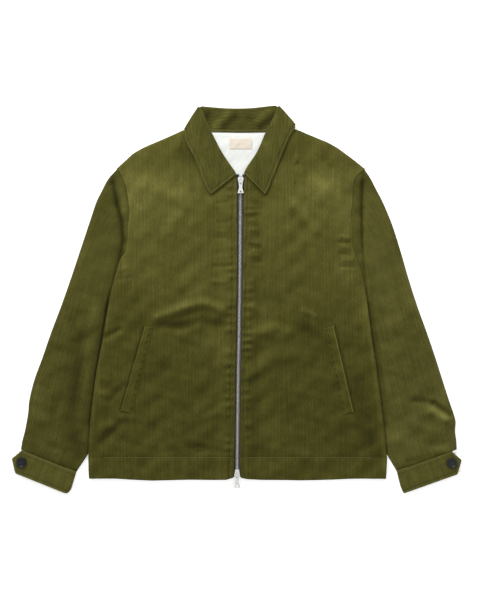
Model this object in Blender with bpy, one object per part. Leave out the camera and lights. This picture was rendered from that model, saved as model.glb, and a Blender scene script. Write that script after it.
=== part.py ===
"""Corduroy jacket with a two-way zip, laid flat on its back, in Blender.

The neck points to +Y and the front faces up. "right" and "left" are the wearer's, so right is at -X.
Every size below is in millimetres, and becomes metres when a mesh is made. The cloth pieces are walls:
a grid of points on the outer side, each paired with a point on the inner side. Each layer's height is
worked out from the layer it lies on.
"""

import math

import bmesh
import bpy
import numpy as np
from mathutils import Vector

MM = 0.001

# ---------------------------------------------------------------- driving sizes
SEAM = 0.5  # gap between two pieces that are sewn together
REST = 0.35  # gap between two pieces that lie on each other
LINING_REST, WELT_REST, FALL_REST = 0.5, 0.75, 0.5

BACK_WALL = 2.4  # corduroy and its lining
FRONT_WALL = 2.1
SLEEVE_WALL = 2.0
COLLAR_WALL = 2.3
CUFF_WALL = 2.9  # two layers of corduroy
LINING = 0.8
LABEL = 0.5

FRONT_TOP = 6.3  # upper side of the fronts over the floor, away from folds
FLY_RISE = 2.5  # the fronts rise over the zip
FLY_WIDE = 38.0
SIDE_RISE = 1.6  # and over the sleeves' inner edges
HEM_STITCH = -301.0  # y of the stitching along the hem
HEM_THICKER = 0.5

COLLAR_FOLD = 0.25  # inner radius of the roll line
COLLAR_HALF = COLLAR_FOLD + COLLAR_WALL / 2  # roll line to the middle of either leg
STAND_MIDDLE = 0.85  # middle of the stand under the fronts' upper side
FALL_BACK_HEIGHT = COLLAR_HALF + COLLAR_WALL / 2  # height of the back roll line
LIFT = COLLAR_WALL + REST  # the back of the neck lies on the collar's fall

SLEEVE_TOP = 7.2
SLEEVE_EDGE = 4.6  # thickness of a sleeve where it is folded along its length
TUCK = 4.8  # how far a sleeve's inner edge lies under the body

CUFF_TOP = 6.6
CUFF_NOSE = CUFF_TOP / 2

TAPE_LOW, TAPE_HIGH = 5.0, 6.0
TAPE_IN, TAPE_OUT = 3.2, 14.0  # from the zip's centre line
CHAIN_HALF, CHAIN_LOW, CHAIN_HIGH = 2.7, 4.3, 6.7
SLIDER_LONG, SLIDER_HALF = 15.4, 5.5
PLATE = 1.2
PLATE_LOW, PLATE_HIGH = 2.85, 7.0  # undersides of the slider's two plates
BRIDGE_HALF, BRIDGE_WIDE, BRIDGE_WALL, BRIDGE_CLEAR = 3.4, 3.0, 1.2, 2.3
BAR_RADIUS = 0.75
BAR_HEIGHT = PLATE_HIGH + PLATE + 1.3
TOP_SLIDER_Y, BOTTOM_SLIDER_Y = 225.0, -331.2
TOP_BAR_Y, BOTTOM_BAR_Y = 224.0, -333.8
TOP_PULL, BOTTOM_PULL = 22.8, 24.2
PULL_THICK = 1.3

BUTTON_RADIUS, BUTTON_THICK = 10.3, 3.2
BUTTON_HOLE, BUTTON_HOLES_OUT = 1.1, 3.3
BUTTON_PROFILE = (
    (0.0, 2.1), (6.4, 2.3), (7.6, BUTTON_THICK), (9.4, BUTTON_THICK), (BUTTON_RADIUS, 2.2),
    (BUTTON_RADIUS, 0.9), (8.6, 0.0), (0.0, 0.0),
)

# ---------------------------------------------------------------- outlines
# The zip, from the hem up: y, x of its centre line, and half the gap between the fronts.
ZIP = (
    (-339.4, 0.9, 7.2),
    (-322.0, 1.1, 6.2),
    (-300.0, 1.3, 5.3),
    (-227.0, 2.1, 4.9),
    (-160.0, 2.9, 5.0),
    (-1.0, 5.7, 5.3),
    (75.0, 6.6, 5.7),
    (208.0, 7.4, 6.3),
    (232.5, 7.8, 7.8),
)

# Each front, from the hem up: side_x, side_y down its side edge and then its armhole; inner_x, inner_y
# along the zip (no x: it follows the zip) and then the neck; turn, 1 where the side folds under.
ZIP_EDGE = None
RIGHT_FRONT = (
    (-280.6, -339.4, ZIP_EDGE, -339.4, 1),
    (-281.5, -324.0, ZIP_EDGE, -324.0, 1),
    (-281.8, -305.0, ZIP_EDGE, -305.0, 1),
    (-281.8, -298.0, ZIP_EDGE, -298.0, 1),
    (-278.0, -231.0, ZIP_EDGE, -231.0, 1),
    (-266.0, -136.0, ZIP_EDGE, -136.0, 1),
    (-253.0, -70.0, ZIP_EDGE, -70.0, 1),
    (-242.0, -1.0, ZIP_EDGE, -1.0, 1),
    (-231.5, 42.0, ZIP_EDGE, 42.0, 1),
    (-221.5, 75.0, ZIP_EDGE, 80.0, 1),
    (-210.0, 97.0, ZIP_EDGE, 117.0, 0),
    (-204.6, 156.0, ZIP_EDGE, 179.0, 0),
    (-205.2, 183.0, ZIP_EDGE, 212.0, 0),
    (-207.0, 196.0, 0.0, 232.5, 0),
    (-209.5, 210.0, -23.0, 250.5, 0),
    (-214.0, 223.5, -46.5, 273.0, 0),
    (-219.5, 236.5, -63.0, 301.0, 0),
    (-226.5, 249.5, -73.0, 328.4, 0),
)
LEFT_FRONT = (
    (284.0, -339.4, ZIP_EDGE, -339.4, 1),
    (285.0, -324.0, ZIP_EDGE, -324.0, 1),
    (285.8, -305.0, ZIP_EDGE, -305.0, 1),
    (285.7, -298.0, ZIP_EDGE, -298.0, 1),
    (279.0, -231.0, ZIP_EDGE, -231.0, 1),
    (267.0, -136.0, ZIP_EDGE, -136.0, 1),
    (256.5, -70.0, ZIP_EDGE, -70.0, 1),
    (247.6, -1.0, ZIP_EDGE, -1.0, 1),
    (240.3, 42.0, ZIP_EDGE, 42.0, 1),
    (230.5, 75.0, ZIP_EDGE, 80.0, 1),
    (221.3, 99.5, ZIP_EDGE, 118.5, 0),
    (218.3, 156.5, ZIP_EDGE, 179.0, 0),
    (219.6, 183.0, ZIP_EDGE, 212.0, 0),
    (221.0, 198.0, 15.6, 232.5, 0),
    (222.5, 213.5, 37.0, 252.0, 0),
    (225.0, 227.5, 57.9, 275.0, 0),
    (232.5, 238.5, 71.5, 302.0, 0),
    (245.0, 247.5, 78.8, 329.4, 0),
)
NECK_ROW = 13  # the table row at the foot of the neck
CENTRE_BACK_X = 3.0
BACK_NECK_Y = (232.5, 252.0, 273.0, 295.0, 316.5)  # centre of the back, rows 13 to 17
# How far the hem hangs below the fronts' first row: x, down. It is even over the last of each side.
HEM_DROP = (
    (-280.6, 0.9), (-258.0, 1.8), (-228.0, 1.9), (-197.0, 4.0), (-160.0, 5.7), (-121.0, 4.7),
    (-91.0, 3.9), (-45.0, 4.5), (-20.0, 3.9), (-6.3, 0.0), (8.1, 0.0), (20.0, 2.6), (45.0, 4.2),
    (91.0, 4.6), (121.0, 5.2), (152.0, 4.7), (182.0, 3.7), (213.0, 2.2), (243.0, 1.8), (284.0, 2.6),
)
# The jacket's top line: right shoulder, back of the neck, left shoulder.
TOP_LINE = (
    (-226.5, 249.5), (-219.3, 256.2), (-211.3, 264.0), (-198.5, 276.2), (-179.5, 287.6),
    (-152.9, 299.0), (-126.3, 310.4), (-101.6, 320.8), (-73.0, 328.4), (-63.0, 321.5), (-45.0, 317.6),
    (3.0, 316.5), (50.0, 316.8), (67.0, 321.0), (78.8, 329.4), (116.8, 321.8), (145.3, 310.4),
    (173.4, 299.0), (192.7, 287.6), (208.1, 276.2), (223.4, 264.8), (238.0, 253.0), (245.0, 247.5),
)

# Each sleeve, from the shoulder down: outer_x, outer_y, and inner_y on the body's side edge.
RIGHT_SLEEVE = (
    (-227.0, 249.0, 97.0), (-243.5, 227.5, 88.0), (-256.5, 206.8, 78.5), (-266.9, 185.0, 67.0),
    (-274.6, 162.2, 53.0), (-286.0, 128.0, 29.2), (-301.1, 82.4, -1.2), (-316.3, 36.8, -35.4),
    (-334.4, -14.5, -73.4), (-352.4, -62.0, -119.0), (-369.5, -111.4, -160.8), (-384.8, -153.2, -196.9),
    (-394.2, -191.2, -221.6), (-396.4, -214.0, -244.4), (-399.4, -233.0, -261.5), (-403.6, -253.9, -279.0),
    (-407.6, -269.1, -290.0),
)
LEFT_SLEEVE = (
    (245.5, 246.9, 99.5), (255.2, 231.5, 89.0), (264.8, 211.6, 78.6), (276.3, 188.8, 67.2),
    (286.3, 166.0, 53.9), (298.1, 135.6, 31.1), (312.3, 90.0, -1.2), (326.6, 40.6, -35.4),
    (343.0, -10.7, -73.4), (361.4, -62.0, -119.0), (377.6, -109.5, -160.8), (393.3, -158.9, -196.9),
    (405.0, -195.0, -221.6), (413.0, -218.0, -244.4), (416.6, -233.5, -261.5), (415.6, -251.0, -279.0),
    (417.9, -269.1, -290.0),
)
# Where each cuff is sewn on: the sleeve's outer corner, then the cuff's outer and inner corners.
RIGHT_WRIST = ((-410.4, -285.7), (-408.0, -287.0), (-304.8, -328.6))
LEFT_WRIST = ((418.9, -284.6), (409.0, -288.2), (304.4, -325.6))
# A cuff, from its seam down: down, tab_end, fold, all measured from the outer corner of the wrist.
CUFF_ROWS = (
    (0.0, 0.0, 110.0), (7.0, -4.0, 110.7), (14.0, -8.0, 111.5), (20.0, -11.4, 112.0), (22.5, -11.4, 112.2),
    (29.0, -6.5, 112.8), (35.0, -2.0, 112.4), (40.0, 1.8, 110.6), (42.8, 3.9, 108.4), (44.0, 5.5, 105.0),
)
BUTTON_AT = (8.2, 21.5)  # along and down from the same corner

# Each side of the collar, from the front up to its corner: roll_x, roll_y; seam_y on the neck edge;
# edge_x, edge_y.
RIGHT_COLLAR = (
    (-1.6, 236.0, 233.2, -48.5, 199.0),
    (-5.7, 242.9, 236.5, -54.0, 204.6),
    (-14.2, 254.3, 244.5, -60.5, 217.3),
    (-22.8, 266.7, 256.0, -69.8, 242.0),
    (-32.3, 281.9, 271.0, -78.6, 264.8),
    (-41.8, 299.9, 290.0, -88.3, 282.8),
    (-50.7, 318.0, 307.5, -95.8, 297.0),
    (-58.9, 338.9, 319.0, -98.8, 307.0),
    (-65.2, 355.0, 325.5, -98.0, 314.5),
)
LEFT_COLLAR = (
    (15.0, 237.6, 233.2, 54.0, 198.8),
    (20.9, 248.6, 239.0, 60.5, 209.7),
    (29.8, 261.3, 249.0, 70.3, 234.4),
    (38.9, 275.2, 262.0, 82.6, 264.8),
    (47.5, 292.3, 281.0, 91.4, 287.0),
    (57.0, 315.1, 303.0, 100.0, 306.0),
    (69.5, 339.8, 319.0, 106.0, 317.5),
    (76.3, 356.9, 326.5, 109.5, 325.0),
)
# The collar's two corners: roll_x, roll_y, seam_x, seam_y, edge_x, edge_y; and how much shorter it is
# where it stands on its fold beside the shoulder.
RIGHT_CORNER = (-69.4, 361.0, -72.5, 331.0, -93.3, 320.7)
LEFT_CORNER = (79.0, 363.0, 79.5, 332.0, 109.0, 330.0)
CORNER_SHORTER = 2.5
# The back of the collar: roll_x, roll_y, seam_x, edge_x, edge_y.
BACK_COLLAR = (
    (-57.9, 363.2, -63.0, -79.0, 310.4), (-41.0, 362.4, -45.0, -56.0, 307.5),
    (-21.0, 360.9, -22.0, -27.0, 306.0), (3.0, 360.4, 3.0, 3.0, 305.6), (27.0, 360.9, 29.0, 35.0, 306.0),
    (46.0, 363.2, 50.0, 66.0, 309.0), (62.0, 364.8, 67.0, 90.0, 314.0),
)

# The lining that shows in the neck: y, right edge, left edge.
LINING_ROWS = (
    (238.0, -8.0, 22.0), (250.0, -18.0, 31.0), (266.0, -29.0, 41.0), (282.0, -38.0, 50.0),
    (299.0, -47.0, 57.0), (315.6, -54.0, 61.0),
)
LABEL_LOW, LABEL_HIGH = (-14.0, 285.0), (29.5, 306.0)

# Each pocket's welt: the mouth's and the stitched edge's top and bottom points.
RIGHT_WELT = ((-174.2, -51.8), (-220.6, -212.6), (-159.4, -54.0), (-198.8, -216.4))
LEFT_WELT = ((184.0, -50.6), (222.4, -214.4), (167.6, -55.6), (201.6, -219.2))
WELT_THICK = 1.5

# Folds: from x, y to x, y, half width, height. A trough has a height below zero.
BODY_FOLDS = (
    (-155, -36, -85, -14, 9, 1.5), (-85, -14, -28, -22, 10, 1.5), (-140, -51, -100, -53, 8, -0.8),
    (-100, -52, -30, -46, 9, -1.0), (-262, -176, -240, -188, 6, 0.7), (-240, -190, -212, -164, 7, -0.9),
    (-250, -73, -221, -58, 6, -0.8), (-262, -246, -240, -244, 9, 0.9), (-240, -245, -216, -222, 9, 1.0),
    (-216, -221, -180, -230, 9, 0.8), (-262, -278, -238, -258, 9, -1.2), (-238, -258, -218, -232, 9, -1.0),
    (-98, -283, -30, -288, 9, -0.9), (-66, -229, -31, -212, 9, 1.0), (-145, -284, -122, -271, 10, 0.9),
    (27, -70, 67, -54, 11, 1.4), (67, -54, 105, -68, 11, 1.2), (27, -146, 47, -138, 8, 1.0),
    (47, -138, 69, -110, 9, 1.2), (69, -110, 120, -108, 9, 0.9), (88, -122, 98, -142, 11, -0.9),
    (130, -55, 152, -72, 12, -0.9), (104, -206, 113, -233, 9, -0.8), (237, -150, 237, -223, 13, -1.4),
    (237, -223, 255, -284, 12, -1.4), (-185, 222, -95, 186, 17, 1.5), (-92, 179, -142, 118, 13, 0.9),
    (150, 222, 175, 200, 17, 1.6), (106, 183, 157, 126, 9, 1.2), (105, 160, 128, 128, 9, -0.8),
    (166, 268, 183, 244, 9, -0.7),
)
RIGHT_SLEEVE_FOLDS = (
    (-236, 222, -223, 178, 8, -1.7), (-223, 178, -219, 127, 8, -1.9), (-219, 127, -213, 100, 8, -1.6),
    (-294, -71, -294, -144, 11, -0.9), (-294, -144, -307, -210, 11, -0.9), (-270, -16, -270, -54, 10, 0.6),
    (-377, -167, -370, -233, 17, 1.2), (-335, -190, -345, -222, 9, -0.7), (-390, -281, -335, -303, 7, -0.8),
)
LEFT_SLEEVE_FOLDS = (
    (243, 226, 240, 166, 9, -1.7), (240, 166, 239, 120, 9, -1.6), (239, 120, 236, 80, 8, -1.3),
    (333, -193, 371, -197, 8, -1.3), (371, -197, 409, -222, 8, -1.5), (365, -213, 402, -232, 8, 1.2),
    (303, -263, 337, -286, 13, 1.0), (366, -279, 402, -275, 8, -0.8), (300, -39, 312, -144, 20, 0.8),
)

# The fronts' side edge, where it turns under and goes down to the back: out_in, out_z and in_in, in_z
# are the outer and the inner point's distance in from the edge and height. The plain edge is cut.
SIDE_TURN = (
    (14.0, 7.7, 16.0, 5.6), (6.0, 8.0, 14.0, 5.45), (1.6, 7.5, 12.6, 5.2), (0.0, 6.5, 11.6, 4.85),
    (1.0, 5.65, 10.8, 4.45), (4.5, 5.1, 10.1, 3.8), (6.6, 4.5, 9.6, 3.0), (7.0, 3.2, 9.3, 1.9),
    (7.0, 0.2, 9.3, 0.2),
)
# The same points on a plain edge: out_in, out_down, in_in, where out_down is below the upper side.
SIDE_PLAIN = (
    (14.0, 0.0, 14.0), (8.0, 0.0, 8.0), (3.0, 0.1, 6.0), (0.6, 0.3, 5.0), (0.0, 0.6, 4.0), (0.0, 0.8, 3.0),
    (0.0, 1.0, 2.0), (0.0, 1.2, 1.0), (0.0, 1.4, 0.0),
)
TURN_IN = 9.3
# The shoulder edge, where the fronts close over the back: distance in, down from the upper side, and
# whether the inner side is down at the floor.
SHOULDER_TURN = ((6.0, 0.1, 0), (3.3, 0.5, 0), (2.6, 0.9, 1), (0.8, 2.2, 1), (0.0, 3.9, 1))
SHOULDER_INSET = 4.6
# A front's columns: distances from the zip or the neck, then shares of what is left up to the side's turn.
FLY_COLUMNS = (0.0, 2.5, 13.0, 25.0, 38.0)
SHARED_COLUMNS = (0.84, 0.67, 0.5, 0.33, 0.16, 0.0)
TURN_STARTS = 30.0
FRONT_ROWS = (
    0.0, 0.25, 1.0, 2.0, 3.0, 3.5, 4.0, 4.4, 4.8, 5.3, 5.8, 6.3, 6.8, 7.3, 8.0, 9.0, 9.5, 10.0,
    10.5, 11.0, 12.0, 13.0, 14.0, 14.5, 15.0, 15.5, 16.0,
)
LAST_ROW = 17.0
BACK_ROWS = (
    0.0, 1.0, 3.0, 4.0, 5.3, 6.3, 7.3, 8.0, 9.0, 9.5, 10.0, 10.5, 11.0, 12.0, 13.0, 14.0, 14.5,
    15.0, 15.5, 16.0, LAST_ROW,
)
# The back's columns, by their x where they meet the top line.
BACK_COLUMNS = {
    "right": (-200.0, -152.0, -122.0, -98.0, -78.0, -63.0, -45.0, 3.0),
    "left": (218.0, 170.0, 136.0, 110.0, 84.0, 67.0, 50.0, 3.0),
}


# ---------------------------------------------------------------- numbers
def unit(vector):
    vector = np.asarray(vector, float)
    return vector / np.linalg.norm(vector)


def smooth(t):
    """A step from 0 to 1 that starts and ends level."""
    t = np.clip(t, 0.0, 1.0)
    return t * t * (3.0 - 2.0 * t)


def read(table, rows):
    """The table's rows joined by a smooth curve, read at these row numbers."""
    table, rows = np.array(table, float), np.atleast_1d(np.asarray(rows, float))
    slope = np.gradient(table, axis=0)
    i = np.clip(rows.astype(int), 0, len(table) - 2)
    t = (rows - i)[:, None]
    a, b, c, d = table[i], table[i + 1], slope[i], slope[i + 1]
    ends = (2 * t**3 - 3 * t**2 + 1) * a + (3 * t**2 - 2 * t**3) * b
    return ends + (t**3 - 2 * t**2 + t) * c + (t**3 - t**2) * d


def zip_x(y):
    return np.interp(y, [row[0] for row in ZIP], [row[1] for row in ZIP])


def zip_gap(y):
    return np.interp(y, [row[0] for row in ZIP], [row[2] for row in ZIP])


def top_line(x):
    return np.interp(x, [row[0] for row in TOP_LINE], [row[1] for row in TOP_LINE])


def hem_drop(x, row):
    """How far the hem pulls a point down: in full on the first row, and fading out over three rows."""
    over = np.clip(x, HEM_DROP[0][0] + TURN_STARTS, HEM_DROP[-1][0] - TURN_STARTS)
    down = np.interp(over, [place for place, _ in HEM_DROP], [drop for _, drop in HEM_DROP])
    return down * smooth(1.0 - row / 3.0)


def folds(table, x, y):
    """The height of all the folds at x, y: each falls off with the distance from its line."""
    height = np.zeros(np.broadcast(x, y).shape)
    for x0, y0, x1, y1, wide, high in table:
        along = ((x - x0) * (x1 - x0) + (y - y0) * (y1 - y0)) / ((x1 - x0) ** 2 + (y1 - y0) ** 2)
        along = np.clip(along, 0.0, 1.0)
        away = np.hypot(x - x0 - along * (x1 - x0), y - y0 - along * (y1 - y0))
        height = height + high * np.exp(-((away / wide) ** 2))
    return height


def lift(x, y):
    """How far the back of the neck is raised by the collar's fall under it."""
    return LIFT * smooth((y - 255.0) / 45.0) * smooth((x + 125.0) / 25.0) * smooth((140.0 - x) / 25.0)


def back_top(x, y):
    return lift(x, y) + BACK_WALL


def front_top(x, y):
    """The fronts' upper side: level, raised along the zip, folded, and thicker at the hem."""
    from_zip = np.abs(x - zip_x(y)) - zip_gap(y)
    below_neck = smooth((264.0 - y) / 28.0)
    high = lift(x, y) + FRONT_TOP + FLY_RISE * smooth((FLY_WIDE - from_zip) / 26.0) * below_neck
    under_collar = smooth((258.0 - y - 0.35 * np.abs(x)) / 20.0) + (np.abs(x - 3.0) > 108.0)
    high = high + folds(BODY_FOLDS, x, y) * np.minimum(1.0, under_collar)
    high = high + HEM_THICKER * smooth((HEM_STITCH - y) / 3.0)
    over_tape = TAPE_HIGH + REST + FRONT_WALL
    lowest = back_top(x, y) + REST + FRONT_WALL
    lowest = lowest + (over_tape - lowest) * smooth((24.0 - from_zip) / 10.0) * below_neck
    return np.maximum(high, lowest)


# ---------------------------------------------------------------- meshes
def material(name, colour, roughness, metallic=0.0):
    made = bpy.data.materials.new(name)
    made.use_nodes = True
    shader = made.node_tree.nodes["Principled BSDF"]
    shader.inputs["Base Color"].default_value = (*colour, 1.0)
    shader.inputs["Roughness"].default_value = roughness
    shader.inputs["Metallic"].default_value = metallic
    return made


def add_object(name, points, faces, finish):
    """An object from points in millimetres, its faces turned to point outwards."""
    points = np.asarray(points, float)
    volume = 0.0
    for face in faces:
        for k in range(1, len(face) - 1):
            volume += np.dot(points[face[0]], np.cross(points[face[k]], points[face[k + 1]]))
    if volume < 0.0:
        faces = [face[::-1] for face in faces]
    mesh = bpy.data.meshes.new(name)
    mesh.from_pydata((points * MM).tolist(), [], [list(map(int, face)) for face in faces])
    return finish_object(name, mesh, finish, (0.0, 0.0, 0.0))


def wall(name, outer, inner, finish, tube=False):
    """A closed wall between two grids (rows, columns, 3). A tube's last column joins its first."""
    rows, columns = outer.shape[:2]
    size = rows * columns
    points = np.concatenate([outer.reshape(-1, 3), inner.reshape(-1, 3)])
    last = columns if tube else columns - 1
    faces = []
    for r in range(rows - 1):
        for c in range(last):
            a, b = r * columns + c, r * columns + (c + 1) % columns
            faces.append((a, b, b + columns, a + columns))
            faces.append((size + a, size + a + columns, size + b + columns, size + b))
    for c in range(last):
        for r in (0, rows - 1):
            a, b = r * columns + c, r * columns + (c + 1) % columns
            rim = (a, size + a, size + b, b)
            faces.append(rim if r == 0 else rim[::-1])
    if not tube:
        for r in range(rows - 1):
            for c in (0, columns - 1):
                a, b = r * columns + c, (r + 1) * columns + c
                rim = (a, b, size + b, size + a)
                faces.append(rim if c == 0 else rim[::-1])
    return add_object(name, points, faces, finish)


def sheet(name, x, y, low, high, finish):
    """A flat-lying wall over a grid of x, y between two heights."""
    return wall(name, np.stack([x, y, high], axis=-1), np.stack([x, y, low], axis=-1), finish)


def finish_object(name, mesh, finish, location):
    mesh.materials.append(finish)
    mesh.shade_smooth()
    mesh.set_sharp_from_angle(angle=math.radians(40.0))
    made = bpy.data.objects.new(name, mesh)
    made.location = [value * MM for value in location]
    bpy.context.scene.collection.objects.link(made)
    return made


def prism(name, outline, low, high, finish, upright=False, location=(0.0, 0.0, 0.0)):
    """An outline in x, y extruded from low to high; upright, an outline in y, z extruded along x."""
    shape = bmesh.new()
    corners = [(low, a, b) if upright else (a, b, low) for a, b in outline]
    base = shape.faces.new([shape.verts.new(Vector(corner) * MM) for corner in corners])
    raised = bmesh.ops.extrude_face_region(shape, geom=[base])["geom"]
    step = Vector((high - low, 0.0, 0.0) if upright else (0.0, 0.0, high - low)) * MM
    bmesh.ops.translate(shape, verts=[v for v in raised if isinstance(v, bmesh.types.BMVert)], vec=step)
    bmesh.ops.recalc_face_normals(shape, faces=shape.faces)
    mesh = bpy.data.meshes.new(name)
    shape.to_mesh(mesh)
    shape.free()
    return finish_object(name, mesh, finish, location)


def turned(name, profile, turns, finish, location):
    """A profile of radius and height, from the top down its outer side, turned once round z."""
    mesh = bpy.data.meshes.new(name)
    points = [(radius * MM, 0.0, height * MM) for radius, height in profile]
    mesh.from_pydata(points, [(k, k + 1) for k in range(len(points) - 1)], [])
    made = finish_object(name, mesh, finish, location)
    screw = made.modifiers.new("turn", "SCREW")
    screw.steps = screw.render_steps = turns
    screw.use_merge_vertices = True
    screw.merge_threshold = 0.00001
    screw.use_smooth_shade = True
    return made


def ring(radius, count, start=0.0):
    """The corners of a regular outline round the origin."""
    angles = (np.arange(count) + start) * 2.0 * math.pi / count
    return np.stack([radius * np.cos(angles), radius * np.sin(angles)], axis=-1)


def join(target, tools, operation):
    """Adds or cuts each tool with a Boolean, and keeps the tools as hidden helpers."""
    for tool in tools:
        modifier = target.modifiers.new(f"{operation.lower()}_{tool.name}", "BOOLEAN")
        modifier.operation = operation
        modifier.solver = "EXACT"
        modifier.object = tool
        tool.hide_render = True
        tool.display_type = "WIRE"


# ---------------------------------------------------------------- the body
def front_plan(table, side, rows):
    """Side point, inner point and turn of a front at these row numbers."""
    filled = [
        (sx, sy, zip_x(iy) + side * zip_gap(iy) if ix is ZIP_EDGE else ix, iy, turn)
        for sx, sy, ix, iy, turn in table
    ]
    made = read(filled, rows)
    below = np.asarray(rows) <= NECK_ROW
    made[below, 2] = zip_x(made[below, 3]) + side * zip_gap(made[below, 3])
    made[:, 4] = np.clip(np.interp(rows, range(len(table)), [row[4] for row in table]), 0.0, 1.0)
    return made


def to_top_line(x, y, end_y, row):
    """Bends the upper rows of a panel so that its last row follows the jacket's top line."""
    share = max(0.0, (row - 10.5) / (LAST_ROW - 10.5)) ** 1.6
    return y + share * (top_line(x) - end_y)


MIDDLE_COLUMNS = len(FLY_COLUMNS) + len(SHARED_COLUMNS)
SIDE_COLUMN = MIDDLE_COLUMNS + 4  # the column along a front's very edge


def front(name, table, side, finish):
    plan = front_plan(table, side, FRONT_ROWS + (LAST_ROW,))
    end = plan[-1]
    turned = np.array(SIDE_TURN)
    plain = np.array(SIDE_PLAIN)
    outer, inner = [], []

    def points(row, side_point, inner_point, turn):
        """Outer and inner points of one row, from the zip or neck edge to the side edge."""
        width = math.dist(side_point, inner_point)
        along = (np.array(inner_point) - np.array(side_point)) / width
        between = width - FLY_COLUMNS[-1] - TURN_STARTS
        middle = np.append(width - np.array(FLY_COLUMNS), TURN_STARTS + between * np.array(SHARED_COLUMNS))
        mixed_out = turned[:, 0] * turn + plain[:, 0] * (1.0 - turn)
        mixed_in = turned[:, 2] * turn + plain[:, 2] * (1.0 - turn)
        grids = []
        for distance in (np.append(middle, mixed_out), np.append(middle, mixed_in)):
            x = side_point[0] + along[0] * distance
            y = side_point[1] + along[1] * distance
            end_u = distance / width
            end_y = end[1] + (end[3] - end[1]) * end_u
            y = to_top_line(end[0] + (end[2] - end[0]) * end_u, y, end_y, row)
            grids.append((x, y - hem_drop(x, row), distance))
        (xo, yo, qo), (xi, yi, qi) = grids
        top = front_top(xo, yo) + SIDE_RISE * turn * smooth((42.0 - qo) / 28.0)
        under = front_top(xi, yi) + SIDE_RISE * turn * smooth((42.0 - qi) / 28.0) - FRONT_WALL
        under = np.maximum(under, back_top(xi, yi) + REST)
        n = len(middle)
        edge_top = top[n:] - plain[:, 1]
        top[n:] = turned[:, 1] * turn + edge_top * (1.0 - turn)
        under[n:] = turned[:, 3] * turn + under[n:] * (1.0 - turn)
        top[0] -= 0.7
        if row == 0.0:
            top -= 0.7 * (np.arange(len(top)) < n + 3)
            under += 0.25 * (np.arange(len(top)) < n + 3)
        return np.stack([xo, yo, top], -1), np.stack([xi, yi, under], -1)

    for row, (sx, sy, ix, iy, turn) in zip(FRONT_ROWS, plan):
        a, b = points(row, (sx, sy), (ix, iy), turn)
        outer.append(a)
        inner.append(b)
    last_out, last_in = outer[-1].copy(), inner[-1].copy()
    end_out, end_in = points(LAST_ROW, (end[0], end[1]), (end[2], end[3]), end[4])
    for distance, down, to_floor in SHOULDER_TURN:
        rows = []
        for end_grid, last_grid in ((end_out, last_out), (end_in, last_in)):
            step = last_grid[:, :2] - end_grid[:, :2]
            length = np.hypot(step[:, 0], step[:, 1])[:, None]
            rows.append(end_grid[:, :2] + step * np.minimum(0.8, distance / length))
        height = front_top(rows[0][:, 0], rows[0][:, 1])
        ground = lift(rows[1][:, 0], rows[1][:, 1])
        drop = np.append(np.zeros(MIDDLE_COLUMNS), plain[:, 1] * (1.0 - down / 4.5))
        top = height - down * (height - ground) / FRONT_TOP - drop
        low = ground + 0.2 if to_floor else front_top(rows[1][:, 0], rows[1][:, 1]) - FRONT_WALL
        outer.append(np.column_stack([rows[0], top]))
        inner.append(np.column_stack([rows[1], low * np.ones(len(top))]))
    outer, inner = np.array(outer), np.array(inner)
    wall(name, outer, inner, finish)
    return outer


def back(fronts, finish):
    """The back panel: both halves of each row, from the side to the centre, inside the fronts' edges."""
    halves = []
    centre = [(row[3], row[3]) for row in RIGHT_FRONT[:NECK_ROW]] + [(y, y) for y in BACK_NECK_Y]
    centre_y = read(centre, BACK_ROWS)[:, 0]
    for hand, table in (("right", RIGHT_FRONT), ("left", LEFT_FRONT)):
        edge = fronts[hand][:, SIDE_COLUMN, :2]
        corner = edge[-1] + unit(edge[len(FRONT_ROWS) - 1] - edge[-1]) * SHOULDER_INSET * 1.2
        edge = np.vstack([edge[: len(FRONT_ROWS)], corner])
        side = np.stack([np.interp(BACK_ROWS, FRONT_ROWS + (LAST_ROW,), edge[:, k]) for k in (0, 1)], -1)
        turns = np.interp(BACK_ROWS, range(len(table)), [row[4] for row in table])
        end_x = np.append(corner[0], BACK_COLUMNS[hand])
        u = (end_x - corner[0]) / (CENTRE_BACK_X - corner[0])
        grid = []
        for row, (sx, sy), turn, cy in zip(BACK_ROWS, side, turns, centre_y):
            inset = (TURN_IN + 2.0 * REST) * turn + SEAM * (1.0 - turn)
            inset = inset / math.dist((sx, sy), (CENTRE_BACK_X, cy))
            share = inset + u * (1.0 - inset)
            x = sx + (CENTRE_BACK_X - sx) * share
            y = sy + (cy - sy) * share
            end_y = corner[1] + (centre_y[-1] - corner[1]) * u
            bent = to_top_line(end_x, y, end_y, row)
            y = np.where(u > 0.0, bent, y)
            if row == LAST_ROW:
                slope = (top_line(end_x + 2.0) - top_line(end_x - 2.0)) / 4.0
                on_shoulder = smooth((np.abs(end_x - CENTRE_BACK_X) - 66.0) / 6.0) * (u > 0.0)
                x[1:] = end_x[1:]
                y = y - SHOULDER_INSET * on_shoulder * np.hypot(1.0, slope)
            grid.append(np.stack([x, y + 1.5 * (row == 0.0)], -1))
        halves.append(np.array(grid))
    plan = np.concatenate([halves[0], halves[1][:, -2::-1]], axis=1)
    x, y = plan[..., 0], plan[..., 1]
    sheet("back", x, y, lift(x, y), back_top(x, y), finish)
    return plan[-1]


# ---------------------------------------------------------------- sleeves and cuffs
# A ring's points: distances in from the outer fold, shares of the width, distances in from the inner fold.
RING_OUTER = (0.0, 0.5, 1.7, 3.4, 8.0, 17.0, 29.0)
RING_MIDDLE = (0.38, 0.56, 0.76)
RING_INNER = (8.0, 3.4, 1.7, 0.5, 0.0)
EDGE_ROUND = 3.4


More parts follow.
